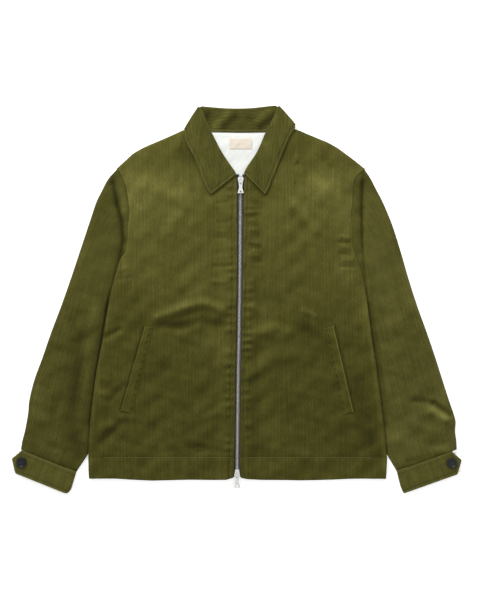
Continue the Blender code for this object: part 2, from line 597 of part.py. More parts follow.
def sleeve(name, table, wrist, side, body_edge, fold_table, finish):
    """A flattened tube: each ring runs from the outer edge over the top to the inner edge and back."""
    edge_x, edge_y = body_edge[:, 0], body_edge[:, 1]
    stations = len(table)
    rings = [(ox, oy, np.interp(iy, edge_y, edge_x), iy) for ox, oy, iy in table]
    outer, inner = [], []
    for k in range(stations + 1):
        if k < stations:
            ox, oy, ix, iy = rings[k]
            tuck = -SEAM + (TUCK + SEAM) * smooth((78.0 - iy) / 34.0) * smooth((iy + 300.0) / 30.0)
            ix = ix - side * tuck
        else:
            (ox, oy), _, (ix, iy) = wrist
        width = math.dist((ox, oy), (ix, iy))
        near_outer = [q / width for q in RING_OUTER]
        over = np.array(near_outer + list(RING_MIDDLE) + [1.0 - q / width for q in RING_INNER])
        under = over[::-1][1:-1]
        u = np.append(over, under)
        is_top = np.arange(len(u)) < len(over)
        made = []
        for wall_in in (0.0, SLEEVE_WALL):
            least = wall_in / width + 0.35 * np.minimum(u, 1.0 - u) * (wall_in > 0.0)
            share = np.where(u < 0.5, np.maximum(u, least), np.minimum(u, 1.0 - least))
            x = ox + (ix - ox) * share
            y = oy + (iy - oy) * share
            bow_fade = max(0.0, 1.0 - k / 4.0) ** 2
            seam_x = np.interp(y, edge_y, edge_x) + side * SEAM
            chord = rings[0][0] + (rings[0][2] - rings[0][0]) * share
            first_y = rings[0][1] + (rings[0][3] - rings[0][1]) * share
            bow = np.interp(first_y, edge_y, edge_x) + side * SEAM - chord
            x = seam_x if k == 0 else x + bow * bow_fade
            edge = np.minimum(share, 1.0 - share) * width
            rounding = 1.0 - np.sqrt(np.clip(1.0 - (1.0 - np.minimum(edge / EDGE_ROUND, 1.0)) ** 2, 0.0, 1.0))
            high = sleeve_top(x, y, edge, share, width, k, stations, fold_table)
            nose = SLEEVE_EDGE / 2.0
            top = high - (high - nose) * rounding
            low = nose * rounding
            thick = wall_in * (1.0 - 0.15 * rounding)
            z = np.where(is_top, top - thick, low + thick)
            if wall_in:
                apart = 0.2 * (edge > 3.0)
                z = np.where(is_top, np.maximum(z, nose + apart), np.minimum(z, nose - apart))
            made.append(np.stack([x, y, z], -1))
        outer.append(made[0])
        inner.append(made[1])
    wall(name, np.array(outer), np.array(inner), finish, tube=True)


def sleeve_top(x, y, edge, share, width, k, stations, fold_table):
    """A sleeve's upper side: level with the front at the armhole, thin along the inner fold."""
    inner_side = smooth(((1.0 - share) * width - 5.0) / 24.0)
    outer_side = smooth((share * width + 2.0) / 18.0)
    high = SLEEVE_EDGE + (SLEEVE_TOP - SLEEVE_EDGE) * np.minimum(inner_side, outer_side)
    high = high + folds(fold_table, x, y) * inner_side
    at_armhole = max(0.0, 1.0 - k / 2.0)
    high = high * (1.0 - at_armhole) + front_top(x, y) * at_armhole
    near_cuff = max(0.0, 1.0 - (stations - k) / 3.0)
    high = high * (1.0 - near_cuff) + np.minimum(high, CUFF_TOP) * near_cuff
    return np.maximum(high, 2.0 * SLEEVE_WALL + 0.5)


def cuff(name, wrist, side, finish):
    """A band folded at the inner side of the wrist, whose upper end is the pointed tab."""
    corner, inner_corner = np.array(wrist[1]), np.array(wrist[2])
    along = unit(inner_corner - corner)
    down = side * np.array([-along[1], along[0]])
    scale = np.linalg.norm(inner_corner - corner) / CUFF_ROWS[0][2]
    start = corner + down * SEAM
    outer, inner = [], []
    for depth, tab, fold in CUFF_ROWS:
        fold *= scale
        span = fold - 8.0 - tab
        upper = tab + span * np.array((0.0, 0.03, 0.12, 0.25, 0.45, 0.7, 1.0))
        nose = fold - np.array((3.0, 0.9, 0.0, 0.9, 3.0))
        lower = np.array((fold - 8.0, 70.0, 40.0, 16.0))
        outer_d = np.concatenate([upper, nose, lower])
        outer_z = np.array([CUFF_TOP] * 7 + [6.4, 5.2, CUFF_NOSE, 1.4, 0.2] + [0.0] * 4)
        inner_nose = fold - np.array((5.0, 3.8, 3.3, 3.8, 5.0))
        inner_d = np.concatenate([upper, inner_nose, lower])
        gap = (CUFF_TOP - 2.0 * CUFF_WALL) / 2.0
        inner_z = CUFF_NOSE + gap * np.array([1.0] * 8 + [0.6, 0.0, -0.6] + [-1.0] * 5)
        droop = 2.4 * smooth((-2.0 - outer_d) / 10.0)
        rim = 0.5 * (depth in (CUFF_ROWS[0][0], CUFF_ROWS[-1][0]))
        lower_side = (outer_z < CUFF_NOSE) * (outer_z > 0.1)
        outer_z = outer_z - droop - rim * (outer_z > CUFF_NOSE) + rim * lower_side
        outer_z[0] -= 0.6
        inner_z = inner_z - 2.4 * smooth((-2.0 - inner_d) / 10.0)
        for rows, d, z in ((outer, outer_d, outer_z), (inner, inner_d, inner_z)):
            xy = start + np.outer(d, along) + down * depth
            rows.append(np.column_stack([xy, z]))
    wall(name, np.array(outer), np.array(inner), finish)
    return start + along * BUTTON_AT[0] + down * BUTTON_AT[1]


def button(name, centre, finish):
    """A turned disc with a rim and four holes."""
    place = (*centre, CUFF_TOP + REST)
    disc = turned(name, BUTTON_PROFILE, 22, finish, place)
    holes = []
    for k, (x, y) in enumerate(ring(BUTTON_HOLES_OUT, 4, 0.5)):
        outline = (x, y) + ring(BUTTON_HOLE, 8)
        holes.append(prism(f"{name}_hole_{k}", outline, -1.0, BUTTON_THICK + 1.0, finish, location=place))
    join(disc, holes, "DIFFERENCE")


# ---------------------------------------------------------------- the collar
FALL_AT = (1.0, 0.88, 0.66, 0.42, 0.2, 0.0)
NOSE_AT = (45.0, 90.0, 135.0)
STAND_AT = (0.0, 0.35, 0.7, 1.0)


def highest_front(x, y):
    """The fronts' upper side at its highest near a point."""
    around = np.array(((0.0, 0.0), (6.0, 0.0), (-6.0, 0.0), (0.0, 6.0), (0.0, -6.0)))
    return front_top(x + around[:, 0], y + around[:, 1]).max()


def collar_station(roll, seam, edge, turn, height, shorter=0.0):
    """One section of the folded collar, as outer and inner points from its edge to its seam.

    turn is how far the section has gone round the corner: 0 on the front, where the fall lies on top,
    to 180 on the back, where it lies under the stand. height is the roll line's. On the front the stand
    follows the back's rise.
    """
    roll3 = np.array([roll[0], roll[1], height])
    fall_long = math.dist(edge, roll) - shorter
    stand_long = math.dist(seam, roll)
    fall_way = unit((edge[0] - roll[0], edge[1] - roll[1], 0.0))
    stand_way = unit((seam[0] - roll[0], seam[1] - roll[1], 0.0))
    angle = math.radians(turn)
    outward = -1.0 if roll[0] < CENTRE_BACK_X else 1.0
    up = np.array([0.0, 0.0, math.cos(angle)])
    side = math.sin(angle) * outward
    fall_up = up + side * np.array([-fall_way[1], fall_way[0], 0.0])
    stand_up = up + side * np.array([-stand_way[1], stand_way[0], 0.0])
    half = COLLAR_WALL / 2.0
    outer, inner = [], []
    on_top = max(0.0, math.cos(angle))
    end = roll3 + fall_way * fall_long
    for t in FALL_AT:
        middle = roll3 + fall_up * COLLAR_HALF + fall_way * fall_long * t
        if on_top:
            level = middle[2] + (highest_front(*end[:2]) + FALL_REST + half - middle[2]) * t
            rest = highest_front(*middle[:2]) + FALL_REST + half
            middle[2] += on_top * (max(level, rest) - middle[2])
        thin = 0.35 if t == 1.0 else 0.0
        outer.append(middle + fall_up * (half - thin))
        inner.append(middle - fall_up * half)
    way = unit(fall_way + stand_way)
    for bend in NOSE_AT:
        b = math.radians(bend)
        blend = unit(fall_up * (1.0 + math.cos(b)) + stand_up * (1.0 - math.cos(b)))
        spoke = math.cos(b) * blend - math.sin(b) * way
        outer.append(roll3 + spoke * (COLLAR_HALF + half))
        inner.append(roll3 + spoke * COLLAR_FOLD)
    for t in STAND_AT:
        middle = roll3 - stand_up * COLLAR_HALF + stand_way * stand_long * t
        middle[2] += on_top * (lift(*middle[:2]) - lift(*roll3[:2]))
        outer.append(middle - stand_up * half)
        inner.append(middle + stand_up * half)
    return np.array(outer), np.array(inner)


def neck_point(neck_edge, y, side):
    """A point of a front's neck edge at this y, moved off it by the seam's gap."""
    x = np.interp(y, neck_edge[:, 1], neck_edge[:, 0])
    ahead = np.interp(y + 4.0, neck_edge[:, 1], neck_edge[:, 0])
    off = unit((-side * 4.0, side * (ahead - x)))
    off = off if off[1] > 0.0 else -off
    return np.array([x, y]) + off * SEAM * 1.3


def collar_side(table, corner, side, neck_edge):
    """The stations of one side, from the front's end to the back of its corner."""
    stations = []
    for rx, ry, sy, ex, ey in table:
        seam = neck_point(neck_edge, sy, side)
        height = front_top(*seam) - lift(*seam) + lift(rx, ry) + COLLAR_HALF - STAND_MIDDLE
        stations.append(collar_station((rx, ry), seam, (ex, ey), 0.0, height))
    rx, ry, sx, sy, ex, ey = corner
    front_height = front_top(sx, sy) + COLLAR_HALF - STAND_MIDDLE
    middle = (front_height + FALL_BACK_HEIGHT) / 2.0
    radius = (front_height - FALL_BACK_HEIGHT) / 2.0
    fall_way = unit((ex - rx, ey - ry))
    outward = side * np.array([-fall_way[1], fall_way[0]])
    for turn in (0.0, 30.0, 60.0, 90.0, 120.0, 150.0, 180.0):
        angle = math.radians(turn)
        roll, seam, edge = np.array([(rx, ry), (sx, sy), (ex, ey)]) + outward * radius * math.sin(angle)
        height = middle + radius * math.cos(angle)
        shorter = CORNER_SHORTER * abs(math.sin(angle)) ** 0.5
        stations.append(collar_station(roll, seam, edge, turn, height, shorter))
    return stations


def collar(right_neck, left_neck, back_edge, finish):
    stations = collar_side(RIGHT_COLLAR, RIGHT_CORNER, -1, right_neck)
    for rx, ry, sx, ex, ey in BACK_COLLAR:
        seam = (sx, np.interp(sx, back_edge[:, 0], back_edge[:, 1]) + SEAM)
        stations.append(collar_station((rx, ry), seam, (ex, ey), 180.0, FALL_BACK_HEIGHT))
    stations += collar_side(LEFT_COLLAR, LEFT_CORNER, 1, left_neck)[::-1]
    outer = np.array([station[0] for station in stations])
    inner = np.array([station[1] for station in stations])
    wall("collar", outer, inner, finish)


# ---------------------------------------------------------------- lining, label, welts
def neck_lining(finish, label_finish):
    rows = np.array(LINING_ROWS)
    across = np.linspace(0.0, 1.0, 7)
    x = rows[:, 1:2] + (rows[:, 2:3] - rows[:, 1:2]) * across
    y = np.repeat(rows[:, 0:1], len(across), axis=1)
    low = back_top(x, y) + LINING_REST
    sheet("lining_back", x, y, low, low + LINING, finish)
    label_x = np.linspace(LABEL_LOW[0], LABEL_HIGH[0], 4)
    label_y = np.linspace(LABEL_LOW[1], LABEL_HIGH[1], 5)
    x, y = np.meshgrid(label_x, label_y)
    low = back_top(x, y) + LINING_REST + LINING + REST
    sheet("neck_label", x, y, low, low + LABEL, label_finish)


def welt(name, corners, finish):
    """A strip on the front, raised from the front's own points."""
    mouth_top, mouth_end, stitch_top, stitch_end = (np.array(corner) for corner in corners)
    down = np.linspace(0.0, 1.0, 12)[:, None]
    mouth = mouth_top + (mouth_end - mouth_top) * down
    stitch = stitch_top + (stitch_end - stitch_top) * down
    across = np.array((0.0, 0.08, 0.5, 0.92, 1.0))
    grid = mouth[:, None] + (stitch - mouth)[:, None] * across[None, :, None]
    x, y = grid[..., 0], grid[..., 1]
    low = front_top(x, y) + WELT_REST
    thick = WELT_THICK * np.array((0.75, 1.0, 1.0, 0.9, 0.5))
    sheet(name, x, y, low, low + thick, finish)


# ---------------------------------------------------------------- the zip
def zip_strip(name, from_y, to_y, near, far, low, high, finish):
    """A straight strip along the zip, between two distances from its centre line."""
    y = np.linspace(from_y, to_y, 9)[:, None] * np.ones((1, 2))
    x = zip_x(y) + np.array([near, far])[None, :]
    sheet(name, x, y, np.full(x.shape, low), np.full(x.shape, high), finish)


def slider(name, centre_y, bar_y, crown, finish):
    """Two plates joined by a post, with a bridge over the pull's bar. crown is +1 where the post is up."""
    x = zip_x(centre_y)
    half = SLIDER_LONG / 2.0
    outline = [
        (x - 3.4, centre_y - crown * half), (x + 3.4, centre_y - crown * half),
        (x + 4.4, centre_y - crown * 0.2 * half), (x + SLIDER_HALF, centre_y + crown * 0.45 * half),
        (x + 4.6, centre_y + crown * 0.9 * half), (x + 2.6, centre_y + crown * half),
        (x - 2.6, centre_y + crown * half), (x - 4.6, centre_y + crown * 0.9 * half),
        (x - SLIDER_HALF, centre_y + crown * 0.45 * half), (x - 4.4, centre_y - crown * 0.2 * half),
    ]
    top = prism(name, outline, PLATE_HIGH, PLATE_HIGH + PLATE, finish)
    bottom = prism(f"{name}_lower", outline, PLATE_LOW, PLATE_LOW + PLATE, finish)
    post_y = centre_y + crown * 0.55 * half
    post_outline = [(x - 1.3, post_y), (x, post_y - 2.6), (x + 1.3, post_y), (x, post_y + 2.6)]
    post = prism(f"{name}_post", post_outline, PLATE_LOW + 0.4, PLATE_HIGH + 0.6, finish)
    over = PLATE_HIGH + PLATE + BRIDGE_CLEAR
    out = BRIDGE_HALF + BRIDGE_WALL
    arch = [
        (bar_y - out, PLATE_HIGH + 0.5), (bar_y - BRIDGE_HALF, PLATE_HIGH + 0.5),
        (bar_y - BRIDGE_HALF, over - 0.6), (bar_y - BRIDGE_HALF + 0.6, over),
        (bar_y + BRIDGE_HALF - 0.6, over), (bar_y + BRIDGE_HALF, over - 0.6),
        (bar_y + BRIDGE_HALF, PLATE_HIGH + 0.5),
        (bar_y + out, PLATE_HIGH + 0.5), (bar_y + out, over - 0.3), (bar_y + out - 1.6, over + BRIDGE_WALL),
        (bar_y - out + 1.6, over + BRIDGE_WALL), (bar_y - out, over - 0.3),
    ]
    bridge = prism(f"{name}_bridge", arch, x - BRIDGE_WIDE / 2.0, x + BRIDGE_WIDE / 2.0, finish, upright=True)
    join(top, (bottom, post, bridge), "UNION")


def pull(name, bar_y, length, finish):
    """A tongue with a bar at its head, a window for the bridge and a hole in its flared end.

    Its origin is on the bar, which is the hinge's axis.
    """
    half = PULL_THICK / 2.0
    place = (zip_x(bar_y), bar_y, BAR_HEIGHT)
    outline = [
        (-3.5, 0.0), (-3.4, -0.3 * length), (-2.9, -0.5 * length), (-4.0, -0.72 * length),
        (-5.8, -0.94 * length), (-5.2, -length), (5.2, -length), (5.8, -0.94 * length),
        (4.0, -0.72 * length), (2.9, -0.5 * length), (3.4, -0.3 * length), (3.5, 0.0),
    ]
    tongue = prism(name, outline, -half, half, finish, location=place)
    bar = prism(f"{name}_bar", ring(BAR_RADIUS, 8, 0.5), -3.5, 3.5, finish, upright=True, location=place)
    window_outline = [(-1.95, -0.62), (1.95, -0.62), (1.95, -6.4), (1.2, -7.2), (-1.2, -7.2), (-1.95, -6.4)]
    window = prism(f"{name}_window", window_outline, -3.0, 3.0, finish, location=place)
    eye = prism(f"{name}_eye", (0.0, -0.87 * length) + ring(1.7, 12), -3.0, 3.0, finish, location=place)
    join(tongue, (window, eye), "DIFFERENCE")
    join(tongue, (bar,), "UNION")


def centre_on_origin():
    """Moves every object so that the middle of the jacket's underside is the origin."""
    bpy.context.view_layer.update()
    corners = []
    for piece in bpy.context.scene.objects:
        if not piece.hide_render:
            points = np.array([piece.matrix_world @ vertex.co for vertex in piece.data.vertices])
            corners += [points.min(axis=0), points.max(axis=0)]
    low, high = np.min(corners, axis=0), np.max(corners, axis=0)
    shift = (-(low[0] + high[0]) / 2.0, -(low[1] + high[1]) / 2.0, -low[2])
    for piece in bpy.context.scene.objects:
        piece.location = [a + b for a, b in zip(piece.location, shift)]
    print("moved by", [round(value / MM, 3) for value in shift], "mm")


def main():
    for old in list(bpy.data.objects):
        bpy.data.objects.remove(old)
    cloth = material("corduroy", (0.115, 0.105, 0.022), 0.9)
    collar_cloth = material("collar_corduroy", (0.115, 0.105, 0.022), 0.9)
    lining = material("lining_cotton", (0.80, 0.81, 0.77), 0.8)
    label = material("woven_label", (0.78, 0.72, 0.64), 0.8)
    tape = material("zip_tape", (0.012, 0.012, 0.014), 0.85)
    teeth = material("zip_teeth", (0.45, 0.43, 0.38), 0.35, 1.0)
    bright = material("zip_metal", (0.72, 0.72, 0.70), 0.25, 1.0)
    horn = material("dark_button", (0.02, 0.02, 0.018), 0.4)

    fronts = {
        "right": front("front_right", RIGHT_FRONT, -1, cloth),
        "left": front("front_left", LEFT_FRONT, 1, cloth),
    }
    back_edge = back(fronts, cloth)
    for hand, side, table, wrist, fold_table in (
        ("right", -1, RIGHT_SLEEVE, RIGHT_WRIST, RIGHT_SLEEVE_FOLDS),
        ("left", 1, LEFT_SLEEVE, LEFT_WRIST, LEFT_SLEEVE_FOLDS),
    ):
        sleeve(f"sleeve_{hand}", table, wrist, side, fronts[hand][:, SIDE_COLUMN], fold_table, cloth)
        centre = cuff(f"cuff_{hand}", wrist, side, cloth)
        button(f"button_{hand}", centre, horn)
    neck_row = FRONT_ROWS.index(NECK_ROW)
    collar(fronts["right"][neck_row:, 0], fronts["left"][neck_row:, 0], back_edge, collar_cloth)
    neck_lining(lining, label)
    welt("welt_right", RIGHT_WELT, cloth)
    welt("welt_left", LEFT_WELT, cloth)

    hem, neck = ZIP[0][0] + 2.0, ZIP[-1][0]
    zip_strip("zip_tape_right", hem, neck, -TAPE_OUT, -TAPE_IN, TAPE_LOW, TAPE_HIGH, tape)
    zip_strip("zip_tape_left", hem, neck, TAPE_IN, TAPE_OUT, TAPE_LOW, TAPE_HIGH, tape)
    reach = SLIDER_LONG / 2.0 + SEAM
    low_y, high_y = BOTTOM_SLIDER_Y + reach, TOP_SLIDER_Y - reach
    zip_strip("zip_chain", low_y, high_y, -CHAIN_HALF, CHAIN_HALF, CHAIN_LOW, CHAIN_HIGH, teeth)
    slider("zip_slider_top", TOP_SLIDER_Y, TOP_BAR_Y, 1.0, bright)
    slider("zip_slider_bottom", BOTTOM_SLIDER_Y, BOTTOM_BAR_Y, -1.0, bright)
    pull("zip_pull_top", TOP_BAR_Y, TOP_PULL, bright)
    pull("zip_pull_bottom", BOTTOM_BAR_Y, BOTTOM_PULL, bright)
    centre_on_origin()


main()
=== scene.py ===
# %% [markdown]
# # A corduroy jacket with a two-way zip, laid flat
#
# A jacket on a table is a stack of thin layers: sleeves at the bottom, the back, the two fronts over
# them, and on top the collar, the pocket welts and the zip. The plain solids of these layers already
# exist, and this script dresses them in cloth. Every sheet is one numpy grid of points, so a fold, a seam
# or a pucker is a term in a height formula and not something pushed by hand.

# %% Load the solids
import itertools
import math

import bpy
import numpy as np
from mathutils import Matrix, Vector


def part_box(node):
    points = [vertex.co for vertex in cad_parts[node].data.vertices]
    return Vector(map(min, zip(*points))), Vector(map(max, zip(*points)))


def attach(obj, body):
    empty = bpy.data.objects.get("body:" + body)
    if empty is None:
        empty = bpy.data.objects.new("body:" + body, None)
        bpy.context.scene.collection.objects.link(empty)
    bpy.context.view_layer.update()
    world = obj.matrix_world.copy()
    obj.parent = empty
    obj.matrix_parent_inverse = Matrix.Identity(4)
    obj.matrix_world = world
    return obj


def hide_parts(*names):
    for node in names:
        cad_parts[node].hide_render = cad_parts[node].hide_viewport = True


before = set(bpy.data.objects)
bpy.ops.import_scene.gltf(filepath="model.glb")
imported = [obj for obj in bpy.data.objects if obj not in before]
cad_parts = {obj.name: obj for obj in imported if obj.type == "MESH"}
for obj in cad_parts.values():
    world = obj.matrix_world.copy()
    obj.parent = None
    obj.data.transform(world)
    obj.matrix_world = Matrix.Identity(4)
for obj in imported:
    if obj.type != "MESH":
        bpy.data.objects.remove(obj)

MM = 0.001
SHIFT = np.array([-0.153, 0.034, 0.0])  # the tables below, in mm, sit this far from the solids' frame
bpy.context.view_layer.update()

# %% [markdown]
# ## Camera, floor and light
#
# The camera hangs straight over the jacket with a long lens, so the outline isn't distorted. Corduroy
# needs a light that comes from one side: it has to rake over the folds, or they disappear. One large
# soft panel stands beyond the collar, a weaker one on the other side keeps the shadows open, and a pale
# sky fills the rest.

# %% Camera
camera = bpy.data.cameras.new("camera")
camera.sensor_fit = "VERTICAL"
SENSOR, CAMERA_HEIGHT, FRAME_TALL = 36.0, 3.0, 1.14  # the sensor in mm, the others in metres
camera.sensor_height = camera.sensor_width = SENSOR
camera.lens = SENSOR * CAMERA_HEIGHT / FRAME_TALL
camera_object = bpy.data.objects.new("camera", camera)
CENTRE_X, CENTRE_Y = 0.0063, -0.0016
CLOTH_MIDDLE = 0.007  # half the jacket's height
camera_object.location = (CENTRE_X, CENTRE_Y, CAMERA_HEIGHT + CLOTH_MIDDLE)
bpy.context.scene.collection.objects.link(camera_object)
bpy.context.scene.camera = camera_object
print("lens:", round(camera.lens, 1), "mm")


# %% Light
def soft_panel(name, place, aim, size, power):
    """A square area light at place that faces aim, both in metres."""
    lamp = bpy.data.lights.new(name, "AREA")
    lamp.shape, lamp.size, lamp.energy = "SQUARE", size, power
    panel = bpy.data.objects.new(name, lamp)
    direction = np.array(aim) - np.array(place)
    flat = math.hypot(direction[0], direction[1])
    panel.location = place
    panel.rotation_euler = (math.atan2(flat, -direction[2]), 0.0, math.atan2(-direction[0], direction[1]))
    bpy.context.scene.collection.objects.link(panel)


soft_panel("light_beyond_collar", (-0.8, 2.2, 1.35), (0.0, 0.0, 0.0), 0.9, 74.0)
soft_panel("light_over", (0.5, 0.2, 3.4), (0.0, 0.0, 0.0), 2.4, 30.0)
world = bpy.data.worlds.new("studio")
world.use_nodes = True
world.node_tree.nodes["Background"].inputs["Color"].default_value = (1.0, 1.0, 1.0, 1.0)
world.node_tree.nodes["Background"].inputs["Strength"].default_value = 0.55
bpy.context.scene.world = world
bpy.context.scene.view_settings.view_transform = "Standard"

# %% [markdown]
# ## Small helpers
#
# A few ideas carry the whole script. `smooth` is a soft step and `bell` a soft ridge, `read` draws a soft
# curve through the rows of a table, and `folds` adds up ridges and troughs along short lines. A grid of
# points then becomes a mesh in one step, with its cloth coordinates in metres, so that every weave keeps
# its true scale.


# %% Numbers
def smooth(t):
    """A step from 0 to 1 that starts and ends level: 3 t^2 - 2 t^3, with t held between 0 and 1."""
    t = np.clip(t, 0.0, 1.0)
    return t * t * (3.0 - 2.0 * t)


def bell(distance, width):
    """A soft ridge, 1 in its middle: exp(-(distance / width)^2)."""
    return np.exp(-((distance / width) ** 2))


def unit(vectors):
    """Each vector divided by its own length."""
    return vectors / np.linalg.norm(vectors, axis=-1, keepdims=True)


def together(*columns):
    """Columns set side by side as points, each repeated over the same grid."""
    return np.stack(np.broadcast_arrays(*columns), -1)


def xy_of(points):
    """The x and the y of points, as two grids of numbers."""
    return points[..., 0], points[..., 1]


def look_up(table, at, column=1, key=0):
    """A table's column, read in straight lines between the rows, where the key column has these values."""
    return np.interp(at, [row[key] for row in table], [row[column] for row in table])


def read(table, rows):
    """A cubic curve through the table's rows, read at these row numbers, with slopes from the neighbours.

    Between rows a and b, with slopes c and d and t from 0 to 1, it is
    (2t^3 - 3t^2 + 1) a + (t^3 - 2t^2 + t) c + (3t^2 - 2t^3) b + (t^3 - t^2) d.
    """
    table, rows = np.array(table, float), np.atleast_1d(np.asarray(rows, float))
    slope = np.gradient(table, axis=0)
    i = np.clip(rows.astype(int), 0, len(table) - 2)
    t = (rows - i)[:, None]
    a, b, c, d = table[i], table[i + 1], slope[i], slope[i + 1]
    start, end = (2 * t**3 - 3 * t**2 + 1) * a, (3 * t**2 - 2 * t**3) * b
    return start + (t**3 - 2 * t**2 + t) * c + end + (t**3 - t**2) * d


def folds(table, x, y):
    """Sum of height * exp(-(distance / width)^2), with the distance to each row's line.

    A row holds x and y of both ends, the width and the height. Each line is cut short a little at its ends.
    """
    height = np.zeros(np.broadcast(x, y).shape)
    for x0, y0, x1, y1, wide, high in table:
        long2 = (x1 - x0) ** 2 + (y1 - y0) ** 2
        cut = min(0.45, 0.8 * wide / math.sqrt(long2))
        along = np.clip(((x - x0) * (x1 - x0) + (y - y0) * (y1 - y0)) / long2, cut, 1.0 - cut)
        away2 = (x - x0 - along * (x1 - x0)) ** 2 + (y - y0 - along * (y1 - y0)) ** 2
        height = height + high * np.exp(-away2 / wide**2)
    return height


def rounded(distance, radius):
    """How far a rounded edge drops at this distance in from it: radius (1 - sqrt(1 - (1 - d/radius)^2))."""
    t = 1.0 - np.clip(distance / radius, 0.0, 1.0)
    return radius * (1.0 - np.sqrt(np.clip(1.0 - t * t, 0.0, 1.0)))


# %% Meshes
def grid_faces(rows, columns, wrap=False, first=0):
    """The corner numbers of a grid's quads, joined round when wrap is set."""
    r = np.arange(rows - 1)[:, None]
    c = np.arange(columns if wrap else columns - 1)[None, :]
    a, b = r * columns + c, r * columns + (c + 1) % columns
    return first + np.stack([a, b, b + columns, a + columns], axis=-1).reshape(-1, 4)


def add_piece(name, points, faces, uv, finishes, body="garment", nap_and_light=None, face_finish=None):
    """A mesh object from points in mm, quads, and each quad corner's cloth coordinates in metres."""
    corner = points[faces]
    turned = np.cross(corner[:, 1] - corner[:, 0], corner[:, 2] - corner[:, 0])
    turned = turned + np.cross(corner[:, 2] - corner[:, 0], corner[:, 3] - corner[:, 0])
    if (corner.mean(axis=1) * turned).sum() < 0.0:
        faces, uv = faces[:, ::-1], uv[:, ::-1]
    mesh = bpy.data.meshes.new(name)
    mesh.from_pydata(((points + SHIFT) * MM).tolist(), [], faces.tolist())
    flat_uv = np.ascontiguousarray(uv, np.float32).reshape(-1)
    mesh.uv_layers.new(name="cloth").data.foreach_set("uv", flat_uv)
    # Each point's nap together with its painted light and shade.
    if nap_and_light is not None:
        mesh.attributes.new("nap_and_light", "FLOAT", "POINT").data.foreach_set("value", nap_and_light.astype(np.float32))
    for finish in finishes:
        mesh.materials.append(finish)
    if face_finish is not None:
        mesh.polygons.foreach_set("material_index", face_finish.astype(np.int32))
    mesh.shade_smooth()
    made = bpy.data.objects.new(name, mesh)
    bpy.context.scene.collection.objects.link(made)
    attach(made, body)
    print(f"{name}: {len(points)} points, {len(faces)} faces")
    return made


def rim(a, b, below, turn):
    """Quads between an edge of the outer grid, from a to b, and the same edge of the inner grid."""
    return np.stack([a, below + a, below + b, b], -1)[:, ::turn]


def cloth(name, outer, inner, uv, finishes, nap_and_light=None, wrap=False, inside=0):
    """A closed sheet: an outer and an inner grid of points, joined by rims along the open edges.

    uv has one column more than the points when the grid is joined round. inside is the number of the
    finish on the inner grid.
    """
    rows, columns = outer.shape[:2]
    wide = uv.shape[1]
    n, n_uv = rows * columns, rows * wide
    points = np.concatenate([outer.reshape(-1, 3), inner.reshape(-1, 3)])
    spots = np.concatenate([uv.reshape(-1, 2)] * 2) * MM
    faces = [grid_faces(rows, columns, wrap), grid_faces(rows, columns, wrap, n)[:, ::-1]]
    corners = [grid_faces(rows, wide), grid_faces(rows, wide, False, n_uv)[:, ::-1]]
    c = np.arange(columns if wrap else columns - 1)
    for r, turn in ((0, 1), (rows - 1, -1)):
        faces.append(rim(r * columns + c, r * columns + (c + 1) % columns, n, turn))
        corners.append(rim(r * wide + c, r * wide + c + 1, n_uv, turn))
    if not wrap:
        r = np.arange(rows - 1)
        for c, turn in ((0, -1), (columns - 1, 1)):
            side_rim = rim(r * columns + c, (r + 1) * columns + c, n, turn)
            faces.append(side_rim)
            corners.append(side_rim)
    which = np.repeat([0, inside] + [0] * (len(faces) - 2), [len(f) for f in faces])
    nap_and_light = None if nap_and_light is None else np.concatenate([nap_and_light.reshape(-1), np.zeros(n)])
    faces, uv = np.concatenate(faces), spots[np.concatenate(corners)]
    return add_piece(name, points, faces, uv, finishes, nap_and_light=nap_and_light, face_finish=which)


def near_far(near, far, step):
    """Distances from near to far in steps of about this length, both ends included."""
    return np.linspace(near, far, max(2, int(round(abs(far - near) / step)) + 1))


# %% [markdown]
# ## The cloth
#
# Corduroy is cotton with rows of cut pile, the wales. Here one wale is 2.7 mm wide, which is about nine to
# the inch. Light goes into the pile and comes back softened, so a wale is brightest on its crown and darker
# in the groove between two crowns, and the whole cloth turns lighter or darker where the pile has been
# stroked another way. Painted light and shade come in the same way, with a pale painted sheen where
# they are light. One node group makes all of that from the cloth coordinates: the first runs across the
# wales and the second along them. The same group is placed in each corduroy material with its own
# colours.


# %% Nodes
def node(tree, kind, inputs=None, **settings):
    """Adds a shader node. An input is a number, a colour, or another node's output to link."""
    made = tree.nodes.new("ShaderNode" + kind)
    for name, value in settings.items():
        setattr(made, name, value)
    for key, value in (inputs or {}).items():
        if isinstance(value, bpy.types.NodeSocket):
            tree.links.new(value, made.inputs[key])
        else:
            made.inputs[key].default_value = value
    return made


def calc(tree, operation, a, b=0.0, c=0.0):
    """One Math node, and its result."""
    return node(tree, "Math", {0: a, 1: b, 2: c}, operation=operation).outputs[0]


def group_of(name, takes, gives):
    """An empty node group with these named inputs and outputs, and its two end nodes."""
    tree = bpy.data.node_groups.new(name, "ShaderNodeTree")
    for label, kind, value in takes:
        socket = tree.interface.new_socket(label, in_out="INPUT", socket_type="NodeSocket" + kind)
        socket.default_value = value
    for label, kind in gives:
        tree.interface.new_socket(label, in_out="OUTPUT", socket_type="NodeSocket" + kind)
    return tree, tree.nodes.new("NodeGroupInput").outputs, tree.nodes.new("NodeGroupOutput")


def mottle_at(tree, u, v, across, along, detail=2.0):
    """Noise from 0 to 1 over the cloth, with blotches of these sizes in metres across and along it."""
    spot = node(tree, "CombineXYZ", {0: calc(tree, "DIVIDE", u, across), 1: calc(tree, "DIVIDE", v, along)})
    return node(tree, "TexNoise", {"Vector": spot.outputs[0], "Scale": 1.0, "Detail": detail}).outputs[0]


def uneven_at(tree, u, v, across, along, detail=2.0):
    """The same noise, from -0.5 to 0.5."""
    return calc(tree, "SUBTRACT", mottle_at(tree, u, v, across, along, detail), 0.5)


def lit_by(tree, *terms):
    """A factor for the light: 1 plus the sum of each term's noise times its strength."""
    light = 1.0
    for noise, strength in terms:
        light = calc(tree, "MULTIPLY_ADD", noise, strength, light)
    return light


def scaled(tree, colour, factor):
    """A colour times a number."""
    return node(tree, "VectorMath", {0: colour, 3: factor}, operation="SCALE").outputs[0]


